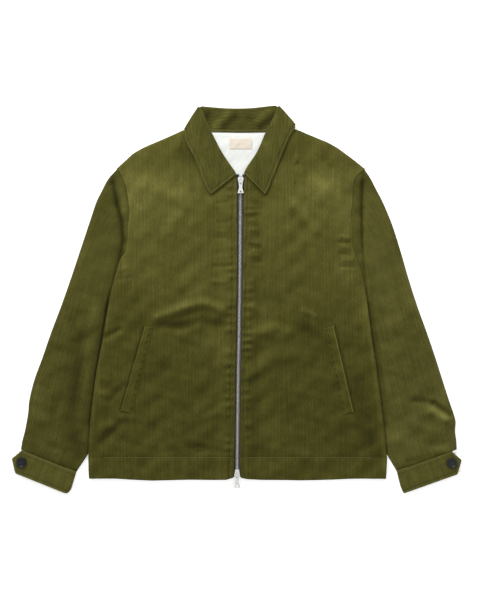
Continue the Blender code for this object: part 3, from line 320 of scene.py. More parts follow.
def cloth_coordinates(tree):
    """The cloth coordinates u and v, in metres."""
    return node(tree, "SeparateXYZ", {0: node(tree, "UVMap", uv_map="cloth").outputs[0]}).outputs[0:2]


# %% Corduroy
WALE = 0.0027  # width of one wale, in metres


def make_corduroy_group():
    """Colour and height of corduroy, from d: 0 on a wale's crown and 1 in the groove beside it.

    d is |2 fraction((u + drift) / wale) - 1|. The height is 1 - d^2.6 with a little pile noise, and the
    colour goes from crown to groove in a soft step from d = 0.35 to 1. The colour is then multiplied by
    (1 + 0.8 pile + 0.65 tufts + mottle blotch + 0.55 streak) (1 + nap and painted light), and where that
    is raised a painted sheen is added.
    """
    tree, given, end = group_of(
        "corduroy",
        (("Wale", "Float", WALE), ("Crown", "Color", (0.2, 0.2, 0.05, 1.0)),
         ("Groove", "Color", (0.03, 0.03, 0.03, 1.0)), ("Painted_sheen", "Color", (0.0, 0.0, 0.006, 1.0)),
         ("Nap_and_light", "Float", 0.0), ("Mottle", "Float", 0.3)),
        (("Colour", "Color"), ("Height", "Float")),
    )
    u, v = cloth_coordinates(tree)
    drift = calc(tree, "MULTIPLY", uneven_at(tree, u, v, 0.05, 0.09), 0.0007)
    turns = calc(tree, "DIVIDE", calc(tree, "ADD", u, drift), given["Wale"])
    doubled = calc(tree, "MULTIPLY", calc(tree, "FRACT", turns), 2.0)
    from_crown = calc(tree, "ABSOLUTE", calc(tree, "SUBTRACT", doubled, 1.0))
    groove = node(
        tree, "MapRange", {0: from_crown, 1: 0.35, 2: 1.0, 3: 0.0, 4: 1.0}, interpolation_type="SMOOTHSTEP"
    ).outputs[0]
    pile = uneven_at(tree, u, v, 0.00045, 0.0016, 3.0)
    tufts = uneven_at(tree, u, v, 0.0022, 0.007)
    blotch = uneven_at(tree, u, v, 0.016, 0.03, 4.0)
    streak = uneven_at(tree, u, v, 0.0045, 0.09, 3.0)
    light = lit_by(tree, (pile, 0.8), (tufts, 0.65), (blotch, given["Mottle"]), (streak, 0.55))
    # The nap value carries the cloth's nap together with painted light and shade.
    light = calc(tree, "MULTIPLY", light, calc(tree, "ADD", given["Nap_and_light"], 1.0))
    mixed = {0: groove, 6: given["Crown"], 7: given["Groove"]}
    colour = node(tree, "Mix", mixed, data_type="RGBA").outputs[2]
    # Painted sheen: a pale tint added where the painted light is raised.
    painted_sheen = scaled(tree, given["Painted_sheen"], calc(tree, "MAXIMUM", given["Nap_and_light"], 0.0))
    shade = node(tree, "VectorMath", {0: scaled(tree, colour, light), 1: painted_sheen}, operation="ADD").outputs[0]
    crown = calc(tree, "SUBTRACT", 1.0, calc(tree, "POWER", from_crown, 2.6))
    tree.links.new(shade, end.inputs["Colour"])
    tree.links.new(calc(tree, "MULTIPLY_ADD", pile, 0.35, crown), end.inputs["Height"])
    return tree


CORDUROY = make_corduroy_group()


def principled(name, roughness, metallic=0.0, sheen=0.0, sheen_tint=(1.0, 1.0, 1.0)):
    """A new material and its shader, with the values that are the same all over set on its own sockets."""
    made = bpy.data.materials.new(name)
    made.use_nodes = True
    shader = made.node_tree.nodes["Principled BSDF"]
    for socket, value in (
        ("Roughness", roughness), ("Metallic", metallic), ("Sheen Weight", sheen), ("Sheen Roughness", 0.4),
        ("Sheen Tint", (*sheen_tint, 1.0)),
    ):
        shader.inputs[socket].default_value = value
    return made, made.node_tree, shader


def relief(tree, shader, height, depth):
    """Gives the shader a bumpy normal from this height, which is depth metres tall."""
    bump = node(tree, "Bump", {"Strength": 1.0, "Distance": depth, "Height": height})
    tree.links.new(bump.outputs[0], shader.inputs["Normal"])


def use_group(tree, shader, group, depth, inputs):
    """Places a cloth's node group in a material, and links its colour and its height to the shader."""
    placed = node(tree, "Group", inputs, node_tree=group)
    tree.links.new(placed.outputs["Colour"], shader.inputs["Base Color"])
    relief(tree, shader, placed.outputs["Height"], depth)


def corduroy(name, crown, mottle, in_groove, depth):
    """A corduroy material: its colour on the wales, a share of it in the grooves, and how deep they are."""
    made, tree, shader = principled(name, 0.9, sheen=0.12, sheen_tint=(0.6, 0.6, 0.3))
    shader.inputs["Specular IOR Level"].default_value = 0.06
    groove = [in_groove * value for value in crown]
    # The nap attribute: nap and painted light and shade, from each piece's points.
    nap_and_light = node(tree, "Attribute", attribute_name="nap_and_light").outputs["Fac"]
    use_group(tree, shader, CORDUROY, depth, {
        "Wale": WALE, "Crown": (*crown, 1.0), "Groove": (*groove, 1.0), "Mottle": mottle, "Nap_and_light": nap_and_light,
    })
    return made


BODY_CLOTH = corduroy("corduroy_body", (0.0578, 0.0541, 0.0092), 0.32, 0.72, 0.00030)
SLEEVE_CLOTH = corduroy("corduroy_sleeve", (0.0580, 0.0549, 0.0100), 0.32, 0.72, 0.00030)
COLLAR_CLOTH = corduroy("corduroy_collar", (0.0762, 0.0730, 0.0146), 0.80, 0.60, 0.00045)
CUFF_CLOTH = corduroy("corduroy_cuff", (0.0840, 0.0810, 0.0168), 0.80, 0.66, 0.00040)
print("corduroy:", len(CORDUROY.nodes), "nodes in the group")


# %% [markdown]
# The neck shows a smooth off-white cotton lining with a bare woven label, and the zip runs on black
# herringbone tape. All three are plain weaves, only finer or coarser, so they share one group: threads
# that go over and under in a small repeat, seen as a height and a faint change of colour.


# %% Woven cloths
def make_weave_group():
    """Colour and height of a plain or, with a slant, twilled weave.

    In threads the weave is over = sin(pi (u + twill v)) sin(pi v), and the height is that with a little
    slub noise. The colour is multiplied by 1 + contrast over + 0.07 slub + 0.06 soft.
    """
    tree, given, end = group_of(
        "weave",
        (("Thread", "Float", 0.0005), ("Cloth", "Color", (0.8, 0.8, 0.8, 1.0)), ("Contrast", "Float", 0.12),
         ("Twill", "Float", 0.0)),
        (("Colour", "Color"), ("Height", "Float")),
    )
    spot = cloth_coordinates(tree)
    u, v = (calc(tree, "DIVIDE", metres, given["Thread"]) for metres in spot)
    u = calc(tree, "MULTIPLY_ADD", v, given["Twill"], u)
    wave_u, wave_v = (calc(tree, "SINE", calc(tree, "MULTIPLY", threads, math.pi)) for threads in (u, v))
    over = calc(tree, "MULTIPLY", wave_u, wave_v)
    slub, soft = uneven_at(tree, *spot, 0.004, 0.011, 3.0), uneven_at(tree, *spot, 0.05, 0.04)
    light = lit_by(tree, (over, given["Contrast"]), (slub, 0.07), (soft, 0.06))
    tree.links.new(scaled(tree, given["Cloth"], light), end.inputs["Colour"])
    tree.links.new(calc(tree, "MULTIPLY_ADD", slub, 0.3, over), end.inputs["Height"])
    return tree


WEAVE = make_weave_group()


def woven(name, colour, thread, contrast, depth, twill=0.0, roughness=0.85, sheen=0.1):
    """A woven material: its colour, the width of a thread in metres, and how far the threads stand out."""
    made, tree, shader = principled(name, roughness, sheen=sheen)
    use_group(tree, shader, WEAVE, depth, {
        "Thread": thread, "Cloth": (*colour, 1.0), "Contrast": contrast, "Twill": twill,
    })
    return made


def sewing_thread(name, colour):
    """A matt twisted thread of this colour."""
    return woven(name, colour, 0.0005, 0.3, 0.00006, twill=0.8, roughness=0.7, sheen=0.0)


LINING_CLOTH = woven("lining_cotton", (0.68, 0.695, 0.665), 0.0006, 0.05, 0.00005)
LABEL_CLOTH = woven("label_weave", (0.66, 0.59, 0.49), 0.0004, 0.10, 0.00008, roughness=0.7)
TAPE_CLOTH = woven("zip_tape_weave", (0.021, 0.021, 0.025), 0.0009, 0.45, 0.0002, twill=1.0, roughness=0.8)
THREAD = sewing_thread("topstitch_thread", (0.108, 0.103, 0.021))
PALE_THREAD = sewing_thread("hem_thread", (0.122, 0.117, 0.026))


# %% Metal and horn
def worn(name, colour, roughness, metallic, scratch):
    """Metal or horn whose gloss and colour wander a little, with fine scratches along its length.

    The colour is multiplied by 1 + 0.35 (broad noise - 0.5), and the roughness gets 0.35 (fine noise - 0.5)
    more. The fine noise is also the scratches' relief.
    """
    made, tree, shader = principled(name, roughness, metallic=metallic)
    x, y = node(tree, "SeparateXYZ", {0: node(tree, "TexCoord").outputs["Object"]}).outputs[0:2]
    fine = mottle_at(tree, x, y, 0.0004, 0.006, 3.0)
    tint = calc(tree, "MULTIPLY_ADD", uneven_at(tree, x, y, 0.004, 0.003), 0.35, 1.0)
    tree.links.new(scaled(tree, colour, tint), shader.inputs["Base Color"])
    gloss = calc(tree, "MULTIPLY_ADD", calc(tree, "SUBTRACT", fine, 0.5), 0.35, roughness)
    tree.links.new(gloss, shader.inputs["Roughness"])
    relief(tree, shader, fine, scratch)
    return made


SLIDER_METAL = worn("slider_nickel", (0.43, 0.43, 0.42), 0.30, 1.0, 0.00002)
TOOTH_METAL = worn("tooth_nickel", (0.42, 0.41, 0.37), 0.36, 1.0, 0.00002)
HORN = worn("dark_horn", (0.0090, 0.0088, 0.0080), 0.40, 0.0, 0.00003)
HORN.node_tree.nodes["Principled BSDF"].inputs["Specular IOR Level"].default_value = 0.25

# %% [markdown]
# ## Pattern pieces
#
# The tables hold the jacket's cut in millimetres: the zip's line, the outline of each front, sleeve,
# cuff and collar, and the folds that the cloth fell into when it was laid down. Right and left are the
# wearer's, so the right front has negative x.

# %% Sizes of the layers
REST = 0.35  # gap between two layers
BACK_WALL, FRONT_WALL, SLEEVE_WALL, COLLAR_WALL, CUFF_WALL = 2.4, 2.1, 2.0, 2.3, 2.9
FRONT_TOP = 6.3  # height of the fronts' upper side
FLY_RISE, FLY_WIDE = 2.5, 38.0  # how much higher it is along the zip, and how far from it
SIDE_RISE = 1.6  # how much higher it is where the side turns under
HEM_STITCH, HEM_THICKER = -301.0, 0.5  # y of the hem's stitched line, and the cloth's rise below it
LIFT = COLLAR_WALL + REST  # how far the collar's fall raises the back
SLEEVE_TOP, SLEEVE_EDGE = 7.2, 4.6  # height in the middle and beside the folds
TUCK = 4.8  # how far a sleeve goes in under the body's edge
CUFF_TOP, CUFF_NOSE = 6.6, 3.3  # height of the upper side, and of the fold's middle
TAPE_HIGH = 6.0  # height of the zip's tape, which the fronts clear
TURN_STARTS, LAST_ROW = 30.0, 17.0  # how far in the side's turn begins, and the number of the shoulder's row
SEWN_FROM_ZIP = 7.6  # how far beside the front's edge the zip's topstitching runs
CUT_EDGE = 1.1  # radius of a front's and the collar's rounded edges

# %% Outlines
ZIP = (  # y, x of the middle, half the gap between the fronts
    (-339.4, 0.9, 7.2), (-322.0, 1.1, 6.2), (-300.0, 1.3, 5.3), (-227.0, 2.1, 4.9), (-160.0, 2.9, 5.0),
    (-1.0, 5.7, 5.3), (75.0, 6.6, 5.7), (208.0, 7.4, 6.3), (232.5, 7.8, 7.8),
)
# Each front from the hem up: side x and y, inner x and y (no x along the zip), 1 where the side turns under.
RIGHT_FRONT = (
    (-280.6, -339.4, None, -339.4, 1), (-281.5, -324.0, None, -324.0, 1),
    (-281.8, -305.0, None, -305.0, 1), (-281.8, -298.0, None, -298.0, 1),
    (-278.0, -231.0, None, -231.0, 1), (-266.0, -136.0, None, -136.0, 1), (-253.0, -70.0, None, -70.0, 1),
    (-242.0, -1.0, None, -1.0, 1), (-231.5, 42.0, None, 42.0, 1), (-221.5, 75.0, None, 80.0, 1),
    (-210.0, 97.0, None, 117.0, 0), (-204.6, 156.0, None, 179.0, 0), (-205.2, 183.0, None, 212.0, 0),
    (-207.0, 196.0, 0.0, 232.5, 0), (-209.5, 210.0, -23.0, 250.5, 0), (-214.0, 223.5, -46.5, 273.0, 0),
    (-219.5, 236.5, -63.0, 301.0, 0), (-228.2, 248.6, -73.0, 328.4, 0),
)
LEFT_FRONT = (
    (284.0, -339.4, None, -339.4, 1), (285.0, -324.0, None, -324.0, 1), (285.8, -305.0, None, -305.0, 1),
    (285.7, -298.0, None, -298.0, 1), (279.0, -231.0, None, -231.0, 1), (267.0, -136.0, None, -136.0, 1),
    (256.5, -70.0, None, -70.0, 1), (247.6, -1.0, None, -1.0, 1), (240.3, 42.0, None, 42.0, 1),
    (230.5, 75.0, None, 80.0, 1), (221.3, 99.5, None, 118.5, 0), (218.3, 156.5, None, 179.0, 0),
    (219.6, 183.0, None, 212.0, 0), (221.0, 198.0, 15.6, 232.5, 0), (222.5, 213.5, 37.0, 252.0, 0),
    (225.0, 227.5, 57.9, 275.0, 0), (232.5, 238.5, 71.5, 302.0, 0), (245.0, 247.5, 78.8, 329.4, 0),
)
NECK_ROW = 13
HEM_DROP = (  # x, and how far the hem hangs below the first row there
    (-282.0, -2.4), (-279.6, 0.2), (-275.0, 1.4), (-258.0, 1.8), (-228.0, 1.9), (-197.0, 4.0),
    (-160.0, 5.7), (-121.0, 4.7), (-91.0, 3.9), (-45.0, 4.5), (-20.0, 3.9), (-6.3, 0.0), (8.1, 0.0),
    (20.0, 2.6), (45.0, 4.2), (91.0, 4.6), (121.0, 5.2), (152.0, 4.7), (182.0, 3.7), (213.0, 2.2),
    (243.0, 1.8), (277.0, 2.4), (282.0, 1.2), (285.0, -1.6),
)
TOP_LINE = (  # x and y of the shoulders' and the neck's outline
    (-228.2, 248.6), (-219.3, 256.6), (-211.3, 264.0), (-198.5, 276.2), (-179.5, 287.6), (-152.9, 299.0),
    (-126.3, 310.4), (-101.6, 321.6), (-73.0, 328.4), (-63.0, 321.5), (-45.0, 317.6), (3.0, 316.5),
    (50.0, 316.8), (67.0, 321.0), (78.8, 329.4), (116.8, 321.8), (145.3, 309.9), (173.4, 298.5),
    (192.7, 287.6), (208.1, 276.2), (223.4, 264.8), (238.0, 253.0), (245.0, 247.5),
)
BACK_NECK_Y = (232.5, 252.0, 273.0, 295.0, 316.5)
CENTRE_BACK_X = 3.0
# Each sleeve from the shoulder down: outer x and y, and the y of its inner edge on the body's side.
RIGHT_SLEEVE = (
    (-228.6, 248.3, 97.0), (-245.8, 228.0, 88.0), (-256.5, 206.8, 78.5), (-266.9, 185.0, 67.0),
    (-274.6, 162.2, 53.0), (-286.0, 128.0, 29.2), (-301.1, 82.4, -1.2), (-316.3, 36.8, -35.4),
    (-334.4, -14.5, -73.4), (-352.4, -62.0, -119.0), (-369.5, -111.4, -160.8), (-384.8, -153.2, -196.9),
    (-394.2, -191.2, -221.6), (-396.4, -214.0, -244.4), (-399.4, -233.0, -261.5),
    (-403.6, -253.9, -279.0), (-407.6, -269.1, -290.0),
)
LEFT_SLEEVE = (
    (245.5, 246.9, 99.5), (255.2, 231.5, 89.0), (264.8, 211.6, 78.6), (276.3, 188.8, 67.2),
    (286.3, 166.0, 53.9), (298.1, 135.6, 31.1), (312.3, 90.0, -1.2), (326.6, 40.6, -35.4),
    (343.0, -10.7, -73.4), (361.4, -62.0, -119.0), (377.6, -109.5, -160.8), (393.3, -158.9, -196.9),
    (405.0, -195.0, -221.6), (413.0, -218.0, -244.4), (416.6, -233.5, -261.5), (415.6, -251.0, -279.0),
    (417.9, -269.1, -290.0),
)
RIGHT_WRIST = ((-410.4, -285.7), (-408.0, -287.0), (-304.8, -328.6))
LEFT_WRIST = ((418.9, -285.6), (409.4, -289.4), (304.4, -326.8))
CUFF_ROWS = (  # a cuff from its seam down: down, end of the tab, fold at the inner side
    (0.0, 0.0, 110.0), (7.0, -4.0, 110.7), (14.0, -8.0, 111.5), (20.0, -11.4, 112.0), (22.5, -11.4, 112.2),
    (29.0, -6.5, 112.8), (35.0, -2.0, 112.4), (40.0, 1.8, 110.6), (42.8, 3.9, 108.4), (44.0, 5.5, 105.0),
)

# %% Folds of the body
BODY_FOLDS = (  # x and y of both ends, width, height
    (-157, -38, -105, -18, 10, 2.2), (-105, -18, -60, -8, 10, 2.2), (-60, -8, -22, -24, 10, 1.9),
    (-144, -50, -105, -55, 8, -1.5), (-105, -55, -75, -42, 8, -1.5), (-75, -40, -20, -52, 9, -1.4),
    (-262, -176, -238, -188, 7, 1.0), (-242, -192, -210, -162, 8, -1.1),
    (-252, -75, -219, -57, 6, -1.5), (-262, -246, -240, -244, 9, 0.9), (-240, -245, -216, -222, 9, 1.0),
    (-216, -221, -180, -230, 9, 0.8), (-262, -278, -238, -258, 9, -1.2), (-238, -258, -218, -232, 9, -1.0),
    (-98, -283, -30, -288, 9, -0.9), (-66, -229, -31, -212, 9, 1.0), (-145, -284, -122, -271, 10, 0.9),
    (24, -72, 67, -54, 12, 1.5), (67, -54, 105, -68, 12, 1.2), (22, -146, 47, -136, 12, 0.8),
    (47, -138, 69, -110, 13, 0.9), (69, -110, 120, -108, 11, 0.6), (88, -122, 98, -142, 13, -0.7),
    (130, -55, 152, -72, 12, -0.9), (104, -206, 113, -233, 9, -0.8), (237, -150, 237, -223, 13, -1.4),
    (237, -223, 255, -284, 12, -1.4), (-185, 222, -95, 186, 17, 1.5), (-92, 179, -142, 118, 13, 0.9),
    (150, 222, 175, 200, 17, 1.6), (106, 183, 157, 126, 10, 1.2), (105, 160, 128, 128, 10, -0.6),
    (166, 268, 183, 244, 9, -0.7),
)
SMALL_FOLDS = (  # the short ones beside the zip, at the armholes and at the neck
    (-42, 181, -8, 184, 3.5, -0.35), (-40, 145, -8, 146, 3.5, -0.35), (-44, 117, -8, 116, 3.5, -0.4),
    (-42, 88, -8, 89, 3.5, -0.4), (-46, 62, -8, 62, 4, -0.5), (-40, 129, -8, 128, 3.5, 0.4),
    (-48, 33, -10, 33, 5, 0.6), (18, 179, 42, 182, 4, -0.4), (18, 136, 42, 138, 4, -0.4),
    (18, 98, 48, 97, 4, -0.5), (18, 69, 50, 70, 4, -0.5), (18, 164, 45, 165, 4, 0.4),
    (18, 107, 45, 108, 4, 0.5), (18, 81, 45, 82, 4, 0.5), (30, -15, 38, -21, 9, 0.7),
    (123, -20, 152, -34, 6, 0.7), (196, 119, 216, 116, 3.5, 0.6), (192, 108, 216, 106, 3.5, -0.6),
    (198, 98, 216, 95, 3.5, 0.6), (195, 86, 219, 83, 3.5, -0.6), (200, 74, 222, 73, 3.5, 0.5),
    (196, 62, 224, 60, 3.5, -0.5), (105, 268, 118, 266, 8, 0.8), (104, 255, 118, 254, 6, -0.7),
    (-207, 60, -225, 52, 5, 0.5), (-200, 42, -228, 36, 5, -0.5), (-259, -148, -240, -156, 5, 0.6),
)


# %% Heights of the layers
def zip_x(y):
    """x of the zip's middle line."""
    return look_up(ZIP, y)


def zip_gap(y):
    """Half the gap between the two fronts."""
    return look_up(ZIP, y, 2)


def past_edge(x, y):
    """How far from the zip's edge of its front a point lies: |x - middle| - half the gap."""
    return np.abs(x - zip_x(y)) - zip_gap(y)


def top_line(x):
    """The shoulders' outline: the mean of five readings of its table, 2.5 mm apart, closer near the ends."""
    near = np.clip(np.minimum(x - TOP_LINE[0][0], TOP_LINE[-1][0] - x) / 16.0, 0.0, 1.0)
    return sum(look_up(TOP_LINE, x + 2.5 * k * near) for k in (-2, -1, 0, 1, 2)) / 5.0


def hem_drop(x, rows):
    """How far the hem pulls a point down: the table's value, fading out over the first three rows."""
    over = np.clip(x, HEM_DROP[0][0] + TURN_STARTS, HEM_DROP[-1][0] - TURN_STARTS)
    return look_up(HEM_DROP, over) * smooth(1.0 - rows / 3.0)


def lift(x, y):
    """How far the collar's fall, which lies under the back of the neck, raises the back."""
    return LIFT * smooth((y - 255.0) / 45.0) * smooth((x + 125.0) / 25.0) * smooth((140.0 - x) / 25.0)


def back_top(x, y):
    """The back's upper side: its wall, and what raises it."""
    return lift(x, y) + BACK_WALL


def unevenness(x, y):
    """Cloth is never quite level: a sum of six slow waves, up to about 0.35 mm."""
    waves = ((31, 12, 0.4), (-17, 26, 1.9), (9, -33, 3.1), (44, 21, 4.4), (-38, 47, 0.9), (61, -52, 2.2))
    total = sum(np.sin((a * x + b * y) / 1000.0 * 2.6 + phase) for a, b, phase in waves)
    return 0.1 * total


CRUSH = np.random.default_rng(11).uniform(0.0, 1.0, (26, 3))  # direction, wavelength and phase of each wave


def crushed(x, y):
    """Marks left by handling: 26 seeded waves, 18 to 80 mm long, calmer at the chest.

    Each is 0.0013 * length * sin(2 pi (place along its direction / length + phase)).
    """
    total = 0.0
    for way, long, phase in CRUSH:
        wave = 18.0 * (80.0 / 18.0) ** long
        total = total + 0.0013 * wave * np.sin(
            2.0 * math.pi * ((x * math.cos(6.3 * way) + y * math.sin(6.3 * way)) / wave + phase)
        )
    return total * (0.8 + 0.4 * smooth((60.0 - y) / 160.0))


def puckers(x, y):
    """Ridges that the zip's topstitching gathers: strength * sin(y / 2.75 + slow drift).

    They fade out over 5 mm from the seam towards the zip, and over 12 mm away from it.
    """
    past_seam = past_edge(x, y) - SEWN_FROM_ZIP
    side = np.sign(x - zip_x(y))
    wave = np.sin(y / 2.75 + 1.7 * np.sin(y / 41.0 + side) + 1.2 * np.sin(y / 19.0 - 2.0 * side))
    reach = bell(past_seam, np.where(past_seam < 0.0, 5.0, 12.0))
    strength = 0.34 + 0.12 * np.sin(y / 67.0 + 3.0 * side) + 0.16 * np.sin(y / 13.0 + 2.0 * side)
    return strength * wave * reach * smooth((225.0 - y) / 20.0) * smooth((y - HEM_STITCH) / 12.0)


def seam_dips(x, y):
    """The cloth is drawn down along a row of stitches: 0.6 mm beside the zip and 0.55 mm along the hem."""
    dip = 0.6 * bell(past_edge(x, y) - SEWN_FROM_ZIP, 1.9) * smooth((236.0 - y) / 8.0)
    return dip + 0.55 * bell(y - HEM_STITCH, 1.7)


def front_top(x, y):
    """The fronts' upper side: level, raised along the zip, folded, stitched, and thicker at the hem."""
    from_zip = past_edge(x, y)
    below_neck = smooth((264.0 - y) / 28.0)
    high = lift(x, y) + FRONT_TOP + FLY_RISE * smooth((FLY_WIDE - from_zip) / 26.0) * below_neck
    open_cloth = np.minimum(1.0, smooth((258.0 - y - 0.35 * np.abs(x)) / 20.0) + (np.abs(x - 3.0) > 108.0))
    lines = folds(BODY_FOLDS, x, y) + folds(SMALL_FOLDS, x, y)
    high = high + (lines + unevenness(x, y) + crushed(x, y)) * open_cloth
    high = high + puckers(x, y) - seam_dips(x, y) + HEM_THICKER * smooth((HEM_STITCH - y) / 3.0)
    over_tape = TAPE_HIGH + REST + FRONT_WALL
    lowest = back_top(x, y) + REST + FRONT_WALL
    lowest = lowest + (over_tape - lowest) * smooth((24.0 - from_zip) / 10.0) * below_neck
    return np.maximum(high, lowest)


# %% [markdown]
# ## The nap, and painted light and shade
#
# Corduroy that has been handled is never one tone. Where the pile leans towards the light it is pale, and
# where it leans away it is deep olive. Those patches are charted as short soft strokes, in the same way as
# the folds, and each point of the cloth carries the result as its `nap_and_light`: 0 leaves the light as it
# is, -0.5 halves it, and 1 doubles it. Light and shade are painted into the same value: the body is painted
# lighter towards the collar, slopes that face the main light are painted lighter, and the strokes also paint
# highlights on ridges and edges and shade in troughs, creases, stitched lines and beside edges that lie on
# other layers.

# %% Stroked patches
BODY_LIGHT_FALLOFF = (  # painted light fall-off: y, and how light the body is painted there, lighter towards the collar
    (-345, 1.07), (-303, 1.03), (-299, 1.00), (-200, 0.98), (-100, 1.03), (-20, 1.13), (50, 1.28),
    (120, 1.38), (190, 1.58), (240, 1.52), (330, 1.24),
)
BODY_NAP_AND_LIGHT = (  # strokes of nap and of painted light and shade: x and y of both ends, width, share of light
    (-212, 236, -92, 185, 28, 0.22), (-197, 230, -196, 229, 16, 0.16), (-170, 202, -169, 201, 16, 0.12),
    (-92, 179, -122, 154, 12, 0.12), (-122, 154, -142, 118, 12, 0.12), (-60, 175, -40, 140, 28, -0.14),
    (-80, 65, -82, 20, 28, 0.12), (-215, 20, -180, -70, 30, -0.10), (-60, -85, -8, -100, 20, 0.24),
    (-20, -80, -26, -300, 13, 0.03), (-259, -178, -258, -179, 8, 0.25), (-140, -280, -139, -281, 12, 0.16),
    (-98, -282, -18, -290, 10, -0.15), (-183, -119, -126, -130, 10, -0.12), (-110, 300, -90, 250, 16, -0.14),
    (-240, -200, -262, -300, 14, -0.08), (-150, -40, -30, -28, 8, 0.12), (-140, -53, -30, -47, 9, -0.14),
    (166, 213, 168, 210, 26, 0.40), (150, 240, 145, 225, 14, 0.14), (106, 183, 157, 126, 8, 0.20),
    (105, 160, 128, 128, 9, -0.12), (166, 270, 182, 246, 8, -0.16), (189, 62, 212, 40, 22, 0.12),
    (33, -18, 34, -19, 14, 0.16), (120, -50, 190, -85, 22, -0.12), (237, 0, 245, -60, 12, 0.14),
    (236, -163, 257, -282, 13, -0.24), (243.5, 8, 262.5, -136, 4.5, 0.40),
    (262.5, -136, 274.5, -231, 4.5, 0.40), (55, -170, 60, -260, 20, 0.10),
    (113, -280, 114, -281, 14, 0.16), (104, -206, 113, -233, 8, -0.14),
    (30, -72, 105, -64, 10, 0.12), (105, 268, 118, 266, 8, 0.20), (60, 215, 100, 200, 20, -0.06),
    (22, 215, 22, 110, 20, -0.12), (-24, 215, -18, 110, 20, -0.12), (-210, 205, -207, 70, 12, 0.16),
    (-185, 205, -170, 120, 22, 0.06), (140, 204, 195, 200, 20, 0.06), (-157, -36, -105, -16, 9, 0.22),
    (-105, -16, -60, -6, 9, 0.22), (-60, -6, -22, -22, 9, 0.16), (-144, -50, -105, -55, 8, -0.20),
    (-105, -55, -75, -42, 8, -0.20), (-75, -40, -20, -52, 8, -0.18), (24, -62, 67, -46, 12, 0.14),
    (115, -48, 160, -88, 20, -0.18), (-85, 21, -84, 20, 22, 0.10), (52, -20, 53, -24, 14, 0.14),
    (122, -20, 153, -34, 8, 0.16), (234, 20, 238, -40, 12, 0.10), (-261, -178, -258, -180, 12, 0.12),
    (-99, 312, -90, 284, 4, -0.28), (-90, 284, -71, 242, 4, -0.24), (-71, 242, -55, 202, 4, -0.22),
    (-53, 196, -25, 217, 4, -0.24), (-25, 217, -3, 233, 4, -0.26), (110, 318, 92, 285, 4, -0.24),
    (92, 285, 72, 233, 4, -0.24), (72, 233, 55, 196, 4, -0.24), (52, 195, 15, 234, 4, -0.26),
    (-238.5, 8, -262, -136, 4.5, 0.20), (-262, -136, -274.5, -231, 4.5, 0.20),
    (-274.5, -231, -278, -334, 4, 0.18),
    (-198, 214, -198, 160, 18, 0.22), (-178, 212, -170, 60, 20, 0.06), (-212, 44, -145, 44, 18, 0.16),
    (143, 206, 198, 202, 20, 0.10), (205, 195, 208, 120, 15, 0.16), (198, 54, 224, 46, 18, 0.16),
    (240, 24, 244, -40, 12, 0.12), (-74, -92, -50, -90, 16, 0.14), (245, -248, 263, -304, 14, -0.16),
    (-30, 225, -10, 215, 18, -0.12), (30, 222, 62, 206, 22, -0.14), (-165, -300, -120, -306, 12, 0.10),
    (186, 72, 200, 50, 12, 0.12), (96, -248, 100, -262, 10, 0.14),
    (22, 190, 22, 150, 8, -0.08), (-212, 66, -208, 40, 8, 0.12), (-216, 90, -214, 60, 3, 0.16),
    (232, -244, 240, -262, 10, -0.12), (-266, -244, -274, -262, 10, -0.14), (4, -76, 10, -84, 8, 0.08),
    (274.5, -231, 281, -298, 4.5, 0.35), (281, -298, 281, -334, 4, 0.25), (30, -72, 88, -60, 13, 0.16),
    (24, -142, 56, -120, 14, 0.18), (73, -245, 75, -290, 15, 0.26), (200, -230, 214, -285, 15, -0.12),
    (-150, -118, -130, -122, 12, -0.10), (-35, -95, -22, -92, 14, 0.10), (-206, 200, -204, 150, 3, 0.18),
    (-204, 150, -211, 95, 3, 0.18),
    (220, 205, 218, 150, 3, 0.20), (218, 150, 223, 95, 3, 0.20), (-177, -50, -222, -213, 2.2, -0.45),
    (187, -49, 225, -214, 2.2, -0.42),
)
# Strokes of nap and of painted light and shade on the sleeves: painted shade beside the body's edge and above
# the cuffs, painted highlights beside the folds.
SLEEVE_NAP_AND_LIGHT = (
    (-300, 112, -310, 60, 24, 0.22), (-377, -166, -372, -233, 14, 0.22), (-269, -16, -269, -54, 8, 0.16),
    (-294, -71, -307, -210, 10, -0.12), (-250, 180, -240, 60, 26, 0.06), (-335, -80, -300, -240, 30, -0.08),
    (-341, -206, -342, -207, 9, -0.12), (-390, -288, -310, -318, 6, -0.25), (318, 90, 400, -160, 16, 0.20),
    (250, 200, 262, 60, 16, 0.22), (280, 60, 300, -40, 20, 0.14), (371, -210, 400, -229, 7, 0.35),
    (303, -263, 304, -264, 20, 0.22), (337, -286, 338, -287, 12, 0.16), (333, -193, 371, -197, 5, -0.18),
    (371, -197, 409, -224, 5, -0.34), (330, -60, 350, -150, 22, -0.06), (320, -308, 398, -292, 5, -0.30),
    (-247, -5, -270, -136, 7, -0.30), (-270, -136, -284, -240, 7, -0.30), (253, -5, 275, -144, 5, -0.28),
    (275, -144, 286, -240, 5, -0.26), (-303, -20, -308, -150, 15, -0.16), (-308, -150, -318, -280, 15, -0.20),
    (-219, 214, -212, 166, 5, 0.40), (-377, -282, -335, -292, 6, 0.36), (-318, 160, -330, 130, 10, 0.12),
    (326, 25, 334, 5, 10, 0.12), (360, -195, 378, -215, 10, 0.14), (292, 170, 300, 140, 10, 0.10),
    (-306, -250, -300, -306, 13, -0.28), (380, -221, 404, -236, 11, 0.24),
    (-250, 205, -262, 120, 20, -0.12), (318, 70, 336, 0, 13, 0.22), (385, -150, 402, -205, 12, 0.20),
    (276, 205, 300, 120, 16, 0.12), (248, 226, 252, 96, 13, -0.18), (388, -196, 404, -212, 10, 0.14),
    (320, 20, 334, -8, 12, 0.12),
)
SLEEVE_TONE = (  # y, and how light the sleeves are there
    (-330.0, 1.12), (-200.0, 1.08), (0.0, 1.16), (120.0, 1.16), (240.0, 1.10),
)
LEFT_TONE = (  # and how much lighter the left one is
    (-330.0, 1.28), (-200.0, 1.22), (-60.0, 1.10), (60.0, 1.08), (150.0, 1.12), (240.0, 1.05),
)
SLOPE_LIGHT_GAIN = 2.4  # painted light: how much lighter the cloth is painted where it slopes towards the main light
